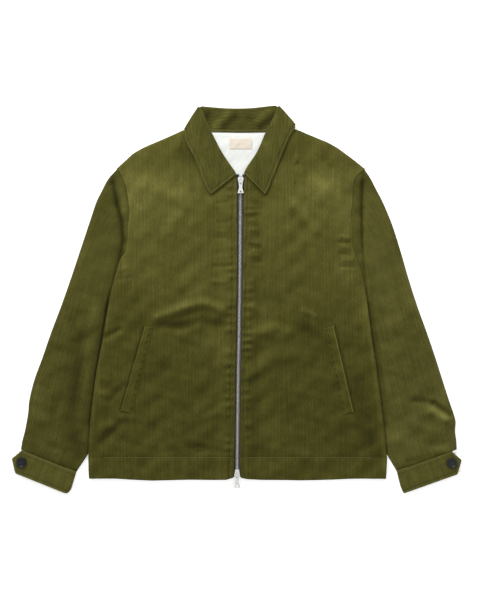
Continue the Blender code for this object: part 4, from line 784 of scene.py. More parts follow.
CREASE_SHADE = (  # painted shade: width, then x, y and depth of its points, in the creases by the armhole and under the body's edge
    (4.6, ((-238, 246, 0.2), (-233, 208, 0.50), (-227, 179, 0.56), (-219, 151, 0.58), (-216, 113, 0.56),
           (-225, 68, 0.50), (-236, 22, 0.44), (-247, -20, 0.25))),
    (3.2, ((241, 240, 0.2), (238, 222, 0.50), (237.5, 166, 0.50), (238, 120, 0.46), (240, 75, 0.32),
           (246, 10, 0.2))),
    (2.4, ((-241, 20, 0.2), (-246, -10, 0.50), (-267, -136, 0.50), (-279.2, -231, 0.50), (-283, -300, 0.5))),
    (2.2, ((246, 20, 0.2), (250, -10, 0.45), (268, -136, 0.45), (280, -231, 0.45), (286.5, -300, 0.45))),
)


def crease_shade(table, x, y):
    """Painted shade along lines: sum of depth * exp(-(distance / width)^2), with the distance to each line of
    points.

    The depth is the one at the line's nearest place, read in a straight line between two points.
    """
    total = np.zeros(np.broadcast(x, y).shape)
    for wide, points in table:
        nearest, depth = np.full(total.shape, 1.0e9), np.zeros(total.shape)
        for (x0, y0, depth0), (x1, y1, depth1) in zip(points, points[1:]):
            along = ((x - x0) * (x1 - x0) + (y - y0) * (y1 - y0)) / ((x1 - x0) ** 2 + (y1 - y0) ** 2)
            along = np.clip(along, 0.0, 1.0)
            away2 = (x - x0 - along * (x1 - x0)) ** 2 + (y - y0 - along * (y1 - y0)) ** 2
            depth = np.where(away2 < nearest, depth0 + along * (depth1 - depth0), depth)
            nearest = np.minimum(nearest, away2)
        total = total + depth * np.exp(-nearest / wide**2)
    return total


def lean(height, x, y):
    """How far the cloth tilts towards the main light, as a slope over 3 mm."""
    dx, dy = -0.5, 1.4
    return (height(x - dx, y - dy) - height(x + dx, y + dy)) / 3.0


def body_nap_and_light(x, y):
    """(painted light fall-off of the row) (1 + strokes) (1 + 2.4 lean), with painted shade in the stitched
    lines, less 1.
    """
    # Painted shade along the stitched lines, where the cloth dips.
    strokes = 1.0 + folds(BODY_NAP_AND_LIGHT, x, y) - 0.28 * np.clip(seam_dips(x, y), 0.0, 1.0)
    # Painted light on slopes that face the main light.
    painted_slope_light = 1.0 + np.clip(SLOPE_LIGHT_GAIN * lean(front_top, x, y), -0.4, 0.5)
    return np.clip(look_up(BODY_LIGHT_FALLOFF, y) * strokes * painted_slope_light - 1.0, -0.8, 2.0)


def sleeve_nap_and_light(x, y, fold_table):
    """(tone of the row) (1 + strokes - 1.2 painted crease shade) (1 + 2.4 lean, painted light), less 1."""
    def height(x, y):
        """What tilts the sleeve's cloth: its folds and its handling marks."""
        return folds(fold_table, x, y) + crushed(x, y)

    tone_and_light = look_up(SLEEVE_TONE, y) * np.where(x > 0.0, look_up(LEFT_TONE, y), 1.0)
    strokes = 1.0 + folds(SLEEVE_NAP_AND_LIGHT, x, y) - 1.2 * crease_shade(CREASE_SHADE, x, y)
    return np.clip(tone_and_light * strokes * (1.0 + SLOPE_LIGHT_GAIN * lean(height, x, y)) - 1.0, -0.8, 2.0)


# %% [markdown]
# ## The two fronts
#
# Each front is one grid: rows run from the zip to the side, columns from the hem to the shoulder. The
# rows' ends come from the outline table. Near the side the columns follow a small hook, because there the
# cloth turns under and goes down to the back, and at the shoulder the last rows bend down to the floor.

# %% The fronts' grid
SIDE_TURN = (  # in from the edge and height, of the outer and of the inner side, where the cloth turns under
    (14.0, 7.7, 16.0, 5.6), (6.0, 8.0, 14.0, 5.45), (1.6, 7.5, 12.6, 5.2), (0.0, 6.5, 11.6, 4.85),
    (1.0, 5.65, 10.8, 4.45), (4.5, 5.1, 10.1, 3.8), (6.6, 4.5, 9.6, 3.0), (7.0, 3.2, 9.3, 1.9),
    (7.0, 0.2, 9.3, 0.2),
)
SIDE_PLAIN = (  # in from the edge, down from the upper side, in for the inner side, on a plain cut edge
    (14.0, 0.0, 14.0), (8.0, 0.0, 8.0), (3.0, 0.1, 6.0), (0.6, 0.3, 5.0), (0.0, 0.6, 4.0), (0.0, 0.8, 3.0),
    (0.0, 1.0, 2.0), (0.0, 1.2, 1.0), (0.0, 1.4, 0.0),
)
SHOULDER_TURN = (  # in from the outline, and how far down the last rows bend there
    (6.0, 0.1), (4.6, 0.25), (3.3, 0.5), (2.6, 0.9), (1.6, 1.5), (0.8, 2.2), (0.3, 3.1), (0.0, 3.9),
)
SHOULDER_INSET = 4.6  # how far inside the outline the back ends on the shoulders


def front_plan(table, side, rows):
    """Side point, inner point and turn of a front at these row numbers."""
    filled = [
        (sx, sy, zip_x(iy) + side * zip_gap(iy) if ix is None else ix, iy, turn)
        for sx, sy, ix, iy, turn in table
    ]
    rows = np.asarray(rows, float)
    made = read(filled, rows)
    below = rows <= NECK_ROW
    made[below, 2] = zip_x(made[below, 3]) + side * zip_gap(made[below, 3])
    made[:, 4] = np.clip(np.interp(rows, range(len(table)), [row[4] for row in table]), 0.0, 1.0)
    return made


def to_top_line(x, y, end_y, rows):
    """Bends the upper rows so that the last one follows the jacket's top line."""
    share = np.clip((rows - 10.5) / (LAST_ROW - 10.5), 0.0, 1.0) ** 1.6
    return y + share * (top_line(x) - end_y)


def row_points(table, side, rows, distances):
    """x and y at these distances in from the side edge, one row of distances per row number."""
    plan, end = front_plan(table, side, rows), front_plan(table, side, [LAST_ROW])[0]
    side_xy, way = plan[:, 0:2], plan[:, 2:4] - plan[:, 0:2]
    width = np.linalg.norm(way, axis=1, keepdims=True)
    way = way / width
    x = side_xy[:, 0:1] + way[:, 0:1] * distances
    y = side_xy[:, 1:2] + way[:, 1:2] * distances
    u, rows = distances / width, np.asarray(rows, float)[:, None]
    y = to_top_line(end[0] + (end[2] - end[0]) * u, y, end[1] + (end[3] - end[1]) * u, rows)
    return x, y - hem_drop(x, rows)


FINE_SIDE = np.linspace(0.0, 8.0, 25)
HOOK, PLAIN = read(SIDE_TURN, FINE_SIDE), read(SIDE_PLAIN, FINE_SIDE)  # the two ways of ending a row
FLY = np.concatenate([[0.0, 0.25, 0.6, 1.1], near_far(1.8, FLY_WIDE, 2.0)])  # a row's places beside the zip
TABLE_Y = np.array([row[1] for row in RIGHT_FRONT])
FINE_ROWS = [[0.0, 0.03, 0.08, 0.16]]
for k in range(int(LAST_ROW) - 1):
    FINE_ROWS.append(near_far(k, k + 1, 3.0 / max(3.0, TABLE_Y[k + 1] - TABLE_Y[k]))[(k == 0):])
FINE_ROWS = np.unique(np.round(np.concatenate(FINE_ROWS), 4))


def front_grid(table, side):
    """Outer and inner points and cloth coordinates of a front.

    Along the side, turn goes from a plain cut edge, 0, to one that follows the hook down to the back, 1.
    """
    all_rows = np.append(FINE_ROWS, LAST_ROW)
    plan = front_plan(table, side, all_rows)
    width = np.linalg.norm(plan[:, 2:4] - plan[:, 0:2], axis=1, keepdims=True)
    turn = plan[:, 4:5]
    share = np.linspace(1.0, 0.0, 78)[None, 1:]
    bend = np.array([[26.0, 22.0, 18.0]]) * np.ones_like(width)
    middle = np.hstack([width - FLY, TURN_STARTS + (width - FLY[-1] - TURN_STARTS) * share, bend])
    n = middle.shape[1]
    drop = np.append(np.zeros(n), PLAIN[:, 1])
    grids = []
    for under in (0, 1):
        hook_in, hook_z, plain_in = HOOK[:, 2 * under], HOOK[:, 1 + 2 * under], PLAIN[:, 2 * under]
        distances = np.hstack([middle, hook_in * turn + plain_in * (1.0 - turn)])
        x, y = row_points(table, side, all_rows, distances)
        flat = front_top(x, y) + SIDE_RISE * turn * smooth((42.0 - distances) / 28.0)
        near = turn * smooth((TURN_STARTS - distances) / 16.0)
        near[:, n:] = turn
        if under:
            flat = np.maximum(flat - FRONT_WALL, back_top(x, y) + REST)
        z = flat * (1.0 - near) + np.append(np.full(n, hook_z[0]), hook_z) * near
        if not under:
            z = z - drop * (1.0 - near)
            z = z - rounded(width - distances, CUT_EDGE) * (distances > width - 3.0)
            z = z - rounded(all_rows[:, None] * 15.0, CUT_EDGE) * (distances > 7.0)
        grids.append(together(x, y, z))
    outer, inner = grids
    arc = np.append(0.0, np.cumsum(np.hypot(np.diff(HOOK[:, 0]), np.diff(HOOK[:, 1]))))
    u = side * (outer[..., 0] - zip_x(outer[..., 1]))
    u[:, n:] = u[:, n : n + 1] + arc * turn + (PLAIN[0, 0] - PLAIN[:, 0]) * (1.0 - turn)
    return shoulder_edge(outer, inner, together(u * side, outer[..., 1]), drop)


def shoulder_edge(outer, inner, uv, drop):
    """Replaces the last row by rows that round off towards the floor, at set distances from it."""
    inside, depth = np.array(SHOULDER_TURN).T
    turned = []
    for grid in (outer, inner):
        step = grid[-2, :, :2] - grid[-1, :, :2]
        length = np.hypot(step[:, 0], step[:, 1])[:, None]
        rings = grid[-1, :, :2] + step * np.minimum(0.8, inside[:, None, None] / length)
        extra = grid[-2, :, :2] + (rings[0] - grid[-2, :, :2]) * np.array([0.25, 0.5, 0.75])[:, None, None]
        turned.append(np.concatenate([extra, rings]))
    depth = np.append(np.zeros(3), depth)[:, None]
    top_xy, low_xy = turned
    height, ground = front_top(*xy_of(top_xy)), lift(*xy_of(low_xy))
    top = height - depth * (height - ground) / FRONT_TOP - drop * (1.0 - depth / 4.5)
    low = np.where(depth < 0.8, front_top(*xy_of(low_xy)) - FRONT_WALL, ground + 0.2)
    outer = np.concatenate([outer[:-1], np.dstack([top_xy, top])])
    inner = np.concatenate([inner[:-1], np.dstack([low_xy, low])])
    across = top_xy[..., 0] - zip_x(top_xy[..., 1])
    uv = np.concatenate([uv[:-1], np.dstack([across, top_xy[..., 1] + 0.6 * depth])])
    return outer, inner, uv


FRONTS = {}
for hand, table, side in (("right", RIGHT_FRONT, -1), ("left", LEFT_FRONT, 1)):
    outer, inner, uv = front_grid(table, side)
    FRONTS[hand] = outer
    nap_and_light = body_nap_and_light(*xy_of(outer))
    piece = cloth(f"cloth_front_{hand}", outer, inner, uv, (BODY_CLOTH, LINING_CLOTH), nap_and_light, inside=1)
    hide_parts(f"front_{hand}")

# %% [markdown]
# ## The back
#
# The back lies under everything, level on the table, and only its neck is lifted where the collar's fall
# goes under it. Its grid has the fronts' rows, drawn in a little from their edges.

# %% Back
def back_grid():
    """x and y of the back's points, from each side edge to the centre line, bent to follow the top line.

    On the shoulders the last rows are drawn in by the inset, measured square to the outline.
    """
    rows = np.concatenate([near_far(0.0, 16.0, 0.09), near_far(16.1, LAST_ROW, 0.09)])
    centre = np.array([row[3] for row in RIGHT_FRONT[:NECK_ROW]] + list(BACK_NECK_Y))[:, None]
    centre_y = read(centre, rows)
    halves = []
    for table, side in ((RIGHT_FRONT, -1), (LEFT_FRONT, 1)):
        turn = front_plan(table, side, rows)[:, 4:5]
        distance = turn * 10.0 + (1.0 - turn) * 0.5
        sx, sy = row_points(table, side, rows, distance)
        corner = np.array([sx[-1, 0], sy[-1, 0] - 5.0])
        u = np.linspace(0.0, 1.0, 66)[None, :]
        end_x = corner[0] + (CENTRE_BACK_X - corner[0]) * u
        x = sx + (CENTRE_BACK_X - sx) * u
        y = sy + (centre_y - sy) * u
        end_y = corner[1] + (centre_y[-1] - corner[1]) * u
        y = to_top_line(end_x, y, end_y, rows[:, None])
        slope = (top_line(end_x + 2.0) - top_line(end_x - 2.0)) / 4.0
        on_shoulder = smooth((np.abs(end_x - CENTRE_BACK_X) - 66.0) / 6.0)
        y = y - SHOULDER_INSET * on_shoulder * np.hypot(1.0, slope) * smooth(rows - 16.0)[:, None]
        halves.append((x, y + 1.5 * (rows[:, None] == 0.0)))
    x = np.hstack([halves[0][0], halves[1][0][:, -2::-1]])
    y = np.hstack([halves[0][1], halves[1][1][:, -2::-1]])
    return x, y


x, y = back_grid()
from_hem = np.minimum(np.arange(len(x))[:, None] * 3.5, 20.0)
underside = lift(x, y) + 0.5 * bell(y - HEM_STITCH, 1.8) + rounded(from_hem, 1.0) * 0.8
low, high = together(x, y, underside), together(x, y, back_top(x, y))
back = cloth("cloth_back", low, high, together(x, y), (BODY_CLOTH, LINING_CLOTH), 0.0 * x, inside=1)
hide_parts("back")

# %% [markdown]
# ## The sleeves
#
# A sleeve is a flattened tube. Its rings run from the outer fold over the top to the inner fold and back
# underneath, and the first ring follows the armhole. The wales run along the arm, so the cloth coordinate
# across them is measured from the sleeve's own middle line.

# %% Sleeves
RIGHT_SLEEVE_FOLDS = (
    (-236, 222, -223, 178, 8, -1.7), (-223, 178, -219, 127, 8, -1.9), (-219, 127, -213, 100, 8, -1.6),
    (-294, -71, -294, -144, 13, -1.3), (-294, -144, -307, -210, 13, -1.3), (-270, -16, -270, -54, 10, 0.8),
    (-377, -167, -370, -233, 17, 1.2), (-335, -190, -345, -222, 9, -0.7), (-390, -281, -335, -303, 7, -0.8),
)
LEFT_SLEEVE_FOLDS = (
    (243, 226, 240, 166, 9, -1.7), (240, 166, 239, 120, 9, -1.6), (239, 120, 236, 80, 8, -1.3),
    (333, -193, 371, -197, 6, -0.8), (371, -197, 409, -223, 6, -1.9), (365, -212, 402, -232, 8, 1.7),
    (303, -263, 337, -286, 13, 1.0), (366, -279, 402, -275, 8, -0.8), (300, -39, 312, -144, 20, 0.8),
)
EDGE_ROUND = 3.4  # radius of a sleeve's folds
ARMHOLE_STEP = 1.5  # how much lower the sleeve lies where it goes in under the body's edge


def sleeve_height(x, y, share, width, station, last, fold_table):
    """A sleeve's upper side: level with the front at the armhole, thin along the inner fold."""
    inner_side = smooth(((1.0 - share) * width - 5.0) / 24.0)
    outer_side = smooth((share * width + 2.0) / 18.0)
    high = SLEEVE_EDGE + (SLEEVE_TOP - SLEEVE_EDGE) * np.minimum(inner_side, outer_side)
    high = high + (folds(fold_table, x, y) + unevenness(x, y) + crushed(x, y)) * inner_side
    at_armhole = np.clip(1.0 - station / 2.0, 0.0, 1.0)
    high = high * (1.0 - at_armhole) + (front_top(x, y) - ARMHOLE_STEP) * at_armhole
    near_cuff = np.clip(1.0 - (last - station) / 3.0, 0.0, 1.0)
    high = high * (1.0 - near_cuff) + np.minimum(high, CUFF_TOP) * near_cuff
    return np.maximum(high, 2.0 * SLEEVE_WALL + 0.5)


def sleeve_grid(table, wrist, side, body_edge, fold_table):
    """Outer and inner rings of a sleeve, and the outer cloth coordinates."""
    edge_x, edge_y = body_edge[:, 0], body_edge[:, 1]
    rows = np.array([(ox, oy, np.interp(iy, edge_y, edge_x), iy) for ox, oy, iy in table])
    tuck = -0.5 + (TUCK + 0.5) * smooth((78.0 - rows[:, 3]) / 34.0) * smooth((rows[:, 3] + 300.0) / 30.0)
    rows[:, 2] -= side * tuck
    rows = np.vstack([rows, (*wrist[0], *wrist[2])])
    last = len(rows) - 1.0
    station = np.concatenate([
        near_far(0.0, 5.0, 0.16), near_far(5.08, last - 3.0, 0.085), near_far(last - 2.9, last, 0.16)
    ])
    ox, oy, ix, iy = (column[:, None] for column in read(rows, station).T)
    station = station[:, None]
    width = np.hypot(ix - ox, iy - oy)
    ends = np.array([0.0, 0.25, 0.6, 1.1, 1.7, 2.5, 3.4, 5.0, 8.0])
    between = np.linspace(0.0, 1.0, 46)[None, 1:-1]
    over = np.hstack([ends / width, (8.0 + (width - 16.0) * between) / width, 1.0 - ends[::-1] / width])
    u = np.hstack([over, over[:, -2:0:-1]])
    is_top = (np.arange(u.shape[1]) < over.shape[1])[None, :]
    grids = []
    for wall_in in (0.0, SLEEVE_WALL):
        squeeze = 0.35 * np.minimum(u, 1.0 - u) * (wall_in > 0.0)
        share = np.where(
            u < 0.5, np.maximum(u, wall_in / width + squeeze), np.minimum(u, 1.0 - wall_in / width - squeeze)
        )
        x, y = ox + (ix - ox) * share, oy + (iy - oy) * share
        first = rows[0]
        first_y = first[1] + (first[3] - first[1]) * share
        bow = np.interp(first_y, edge_y, edge_x) - side * 1.2 - (first[0] + (first[2] - first[0]) * share)
        x = x + bow * np.clip(1.0 - station / 4.0, 0.0, 1.0) ** 2
        edge = np.minimum(share, 1.0 - share) * width
        rounding = rounded(edge, EDGE_ROUND) / EDGE_ROUND
        high = sleeve_height(x, y, share, width, station, last, fold_table)
        nose = SLEEVE_EDGE / 2.0
        top = high - (high - nose) * rounding
        low = nose * rounding
        thick = wall_in * (1.0 - 0.15 * rounding)
        z = np.where(is_top, top - thick, low + thick)
        if wall_in:
            keep = 0.2 * (edge > 3.0)
            z = np.where(is_top, np.maximum(z, nose + keep), np.minimum(z, nose - keep))
        grids.append(together(x, y, z))
    middle = np.hstack([(over - 0.5) * width, -width - (over[:, -2::-1] - 0.5) * width])
    along = oy + (iy - oy) * 0.5
    length = np.append(0.0, np.cumsum(np.hypot(np.diff(0.5 * (ox + ix)[:, 0]), np.diff(along[:, 0]))))
    return *grids, together(middle * side, -length[:, None])


for hand, table, side, sleeve_table, wrist, fold_table in (
    ("right", RIGHT_FRONT, -1, RIGHT_SLEEVE, RIGHT_WRIST, RIGHT_SLEEVE_FOLDS),
    ("left", LEFT_FRONT, 1, LEFT_SLEEVE, LEFT_WRIST, LEFT_SLEEVE_FOLDS),
):
    rows = np.append(FINE_ROWS, LAST_ROW)
    body_edge = np.hstack(row_points(table, side, rows, front_plan(table, side, rows)[:, 4:5]))
    outer, inner, uv = sleeve_grid(sleeve_table, wrist, side, body_edge, fold_table)
    nap_and_light = sleeve_nap_and_light(*xy_of(outer), fold_table)
    piece = cloth(
        f"cloth_sleeve_{hand}", outer, inner, uv, (SLEEVE_CLOTH, LINING_CLOTH), nap_and_light, wrap=True, inside=1
    )
    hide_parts(f"sleeve_{hand}")

# %% [markdown]
# ## The cuffs
#
# A cuff is a doubled band with a pointed end that buttons over itself. Laid flat it is folded round the
# inner side of the wrist, so a section across it is a long C lying on its side.


# %% Cuffs
CUFF_DEEP, CUFF_EDGE = CUFF_ROWS[-1][0], 1.3  # depth of a cuff, and the radius of its edges
CUFF_STRETCH = {-1: 1.03, 1: 1.008}  # how much deeper than the table each cuff lies
UPPER, NOSE, LOWER = 40, 13, 26  # columns on the upper side, round the fold and on the lower side
BEFORE_FOLD = 8.0  # how far from the fold its round begins


def fold_curve(*values):
    """A soft curve through five values, one for each column round the fold."""
    return read(np.array([values]).T, np.linspace(0.0, 4.0, NOSE))[:, 0]


def tab_droop(along):
    """How far the tab hangs down where it reaches past the wrist: 2.4 mm, from 2 mm out over the next 10."""
    return 2.4 * smooth((-2.0 - along) / 10.0)


def cuff_grid(wrist, side):
    """Outer and inner points, cloth coordinates and painted light and shade of a cuff, then its corner and
    its two directions.

    Each row runs from the tab over the upper side, round the fold and back underneath. Heights fall off
    at the edges as a rounded edge does, and a stitched line lies 5 mm in, 0.45 mm deep.
    """
    corner, inner_corner = np.array(wrist[1]), np.array(wrist[2])
    along = unit(inner_corner - corner)
    down = side * np.array([-along[1], along[0]])
    scale = np.linalg.norm(inner_corner - corner) / CUFF_ROWS[0][2]
    at = np.concatenate([[0.0, 0.04, 0.12], near_far(0.25, 8.0, 0.25), [8.3, 8.6, 8.85, 8.95, 9.0]])
    rows = read(CUFF_ROWS, at)
    depth, tab, fold = rows[:, 0:1], rows[:, 1:2], rows[:, 2:3] * scale
    fold = fold + (side > 0) * np.interp(depth, (35.0, 40.0, 42.8, CUFF_DEEP), (0.0, 1.4, 3.0, 5.0))
    over = np.concatenate([[0.0, 0.003, 0.008, 0.016, 0.03, 0.06], np.linspace(0.1, 1.0, UPPER - 6)])
    upper = tab + (fold - BEFORE_FOLD - tab) * over
    lower = fold - BEFORE_FOLD - (fold - 24.0) * np.linspace(0.0, 1.0, LOWER)
    outer_d = np.hstack([upper, fold - fold_curve(3.0, 0.9, 0.0, 0.9, 3.0), lower])
    inner_d = np.hstack([upper, fold - fold_curve(5.0, 3.8, 3.3, 3.8, 5.0), lower])
    nose_z = fold_curve(6.4, 5.2, CUFF_NOSE, 1.4, 0.2)
    outer_z = np.concatenate([np.full(UPPER, CUFF_TOP), nose_z, np.zeros(LOWER)])
    inner_nose_z = fold_curve(1.0, 0.6, 0.0, -0.6, -1.0)
    gap = (CUFF_TOP - 2.0 * CUFF_WALL) / 2.0
    inner_z = CUFF_NOSE + gap * np.concatenate([np.ones(UPPER), inner_nose_z, -np.ones(LOWER)])
    edge = np.minimum(depth, CUFF_DEEP - depth)
    is_upper = (np.arange(UPPER + NOSE + LOWER) < UPPER + NOSE // 2)[None, :]
    crown = 0.25 * smooth(edge / 8.0) - 0.45 * bell(edge - 5.0, 1.4)
    edge_drop = rounded(edge, CUFF_EDGE)
    upper_side = crown * smooth((outer_z - CUFF_NOSE) / 3.0) - edge_drop
    tab_edge = outer_d - tab
    outer_z = outer_z + np.where(is_upper, upper_side, edge_drop * 0.6)
    outer_z = outer_z - rounded(tab_edge, CUFF_EDGE) * is_upper - tab_droop(outer_d) * is_upper
    outer_z = outer_z - 0.35 * bell(tab_edge - 5.0, 1.4) * is_upper
    inner_z = inner_z - tab_droop(inner_d)
    start = corner + down * 0.5
    depth = CUFF_STRETCH[side] * depth - 1.3 * smooth(1.0 - depth / 3.0)
    grids = [
        np.dstack([start + d[..., None] * along + depth[..., None] * down, z])
        for d, z in ((outer_d, outer_z), (inner_d, inner_z))
    ]
    nearest = np.minimum(edge, np.where(is_upper, tab_edge, 99.0))
    # Painted highlight along the cuff's edges, and painted shade along its stitched line.
    tone_and_light = 0.18 * smooth((4.6 - nearest) / 1.6) - 0.25 * bell(nearest - 6.0, 1.4)
    around = np.where(is_upper, outer_d, 2.0 * fold - outer_d)
    return *grids, together(around, depth), tone_and_light, start, along, down


CUFFS = {}
for hand, wrist, side in (("right", RIGHT_WRIST, -1), ("left", LEFT_WRIST, 1)):
    outer, inner, uv, tone_and_light, start, along, down = cuff_grid(wrist, side)
    CUFFS[hand] = (start, along, down)
    piece = cloth(f"cloth_cuff_{hand}", outer, inner, uv, (CUFF_CLOTH,), tone_and_light)
    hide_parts(f"cuff_{hand}")

# %% [markdown]
# ## The collar
#
# A shirt collar is one strip, folded along its roll line. Going round the neck each section turns over:
# on the front the fall lies on top and the stand under it, at the back the fall lies under and the inside
# of the stand faces up. So a section is worked out in its own frame, and the frame turns by half a circle
# at each shoulder.

# %% Collar tables
RIGHT_COLLAR = (  # roll x and y, y of the seam on the neck edge, edge x and y
    (-1.6, 236.0, 233.2, -48.5, 199.0), (-5.7, 242.9, 236.5, -54.0, 204.6),
    (-14.2, 254.3, 244.5, -60.5, 217.3), (-22.8, 266.7, 256.0, -69.8, 242.0),
    (-32.3, 281.9, 271.0, -78.6, 264.8), (-41.8, 299.9, 290.0, -88.3, 282.8),
    (-50.7, 318.0, 307.5, -95.8, 297.0), (-58.9, 338.9, 319.0, -98.8, 307.0),
    (-65.2, 355.0, 325.5, -98.6, 313.5),
)
LEFT_COLLAR = (
    (15.0, 237.6, 233.2, 54.0, 198.8), (20.9, 248.6, 239.0, 60.5, 209.7),
    (29.8, 261.3, 249.0, 70.3, 234.4), (38.9, 275.2, 262.0, 82.6, 264.8),
    (47.5, 292.3, 281.0, 91.4, 287.0), (57.0, 315.1, 303.0, 100.0, 306.0),
    (69.5, 339.8, 319.0, 106.0, 317.5), (77.0, 357.6, 326.5, 110.4, 322.0),
)
RIGHT_CORNER = (-71.0, 361.9, -72.5, 331.0, -98.0, 318.9)  # roll, seam and edge, x and y
LEFT_CORNER = (79.6, 363.2, 80.5, 332.0, 111.3, 327.2)
BACK_COLLAR = (  # roll x and y, seam x, edge x and y
    (-67.4, 364.5, -68.0, -87.0, 313.5), (-57.0, 363.7, -61.0, -77.0, 310.0),
    (-41.0, 362.4, -45.0, -56.0, 307.5), (-21.0, 360.9, -22.0, -27.0, 306.0),
    (3.0, 360.4, 3.0, 3.0, 305.6), (27.0, 361.1, 29.0, 35.0, 306.0), (46.0, 363.0, 50.0, 66.0, 309.0),
    (60.0, 364.7, 63.0, 86.0, 313.0), (73.6, 365.9, 73.2, 100.0, 318.0),
)
COLLAR_FOLD = 0.25  # inner radius of the fold
COLLAR_HALF = COLLAR_FOLD + COLLAR_WALL / 2.0  # from the roll line to the middle of either wall
STAND_MIDDLE = 0.85  # how far under the front's upper side the stand's middle lies
FALL_REST, CORNER_SHORTER = 0.5, 2.5  # gap under the fall, and how much shorter it is where it turns over
BACK_ROLL_HEIGHT = COLLAR_HALF + COLLAR_WALL / 2.0
STAND_FOLDS = (  # soft diagonal folds on the inside of the stand
    (-48, 330, -25, 352, 5, -1.0), (-30, 322, -8, 350, 7, 0.8), (-5, 325, 12, 352, 6, -0.8),
    (20, 322, 36, 350, 8, 0.8), (50, 325, 62, 348, 5, -0.9),
)
STAND_TONE_AND_LIGHT = (  # how light the inside of the stand is, as strokes: painted light and shade on its folds, painted shade at its ends
    (-66, 334, -52, 358, 9, -0.50), (-46, 328, -14, 358, 7, 0.45), (-30, 324, 0, 352, 7, -0.42),
    (2, 326, 30, 352, 9, -0.20), (34, 338, 64, 361, 6, 0.45), (40, 326, 74, 350, 8, -0.46),
)
FALL_TONE_AND_LIGHT = (  # how light the fall is in front, as strokes: patches of tone, and painted light and shade on its crumples and beside its points
    (-60, 342, -49, 300, 8, -0.16), (-84, 336, -80, 290, 9, 0.14), (-68, 264, -52, 236, 9, 0.12),
    (-48, 213, -40, 222, 8, -0.14), (52, 300, 66, 268, 8, 0.22), (92, 346, 99, 331, 8, 0.18),
    (93, 302, 84, 270, 8, -0.16), (61, 238, 57, 214, 8, -0.12), (74, 352, 69, 334, 7, 0.16),
    (-36, 262, -30, 236, 10, -0.16), (48, 262, 40, 236, 10, -0.14), (-30, 300, -24, 280, 6, -0.10),
)
SEWN_IN = 4.6  # how far inside the collar's edge its topstitching runs
CORNER_OUT = 0.5  # how far a corner swings out, as a share of the half circle that it turns through
SEAM_RISE = 2.4  # how far the stand's seam allowance stands up over the lining


# %% Collar sections
def neck_point(neck_edge, y, side):
    """Points of a front's neck edge at these y, moved off it by the seam's gap."""
    x = np.interp(y, neck_edge[:, 1], neck_edge[:, 0])
    ahead = np.interp(y + 4.0, neck_edge[:, 1], neck_edge[:, 0])
    off = unit(np.stack([-side * 4.0 + 0.0 * y, side * (ahead - x)], -1))
    off = np.where(off[:, 1:2] > 0.0, off, -off)
    return np.stack([x, y], -1) + off * 0.65


def highest_front(xy):
    """The fronts' upper side at its highest within 6 mm of each point."""
    around = np.array(((0.0, 0.0), (6.0, 0.0), (-6.0, 0.0), (0.0, 6.0), (0.0, -6.0)))
    return front_top(*xy_of(xy[..., None, :] + around)).max(axis=-1)


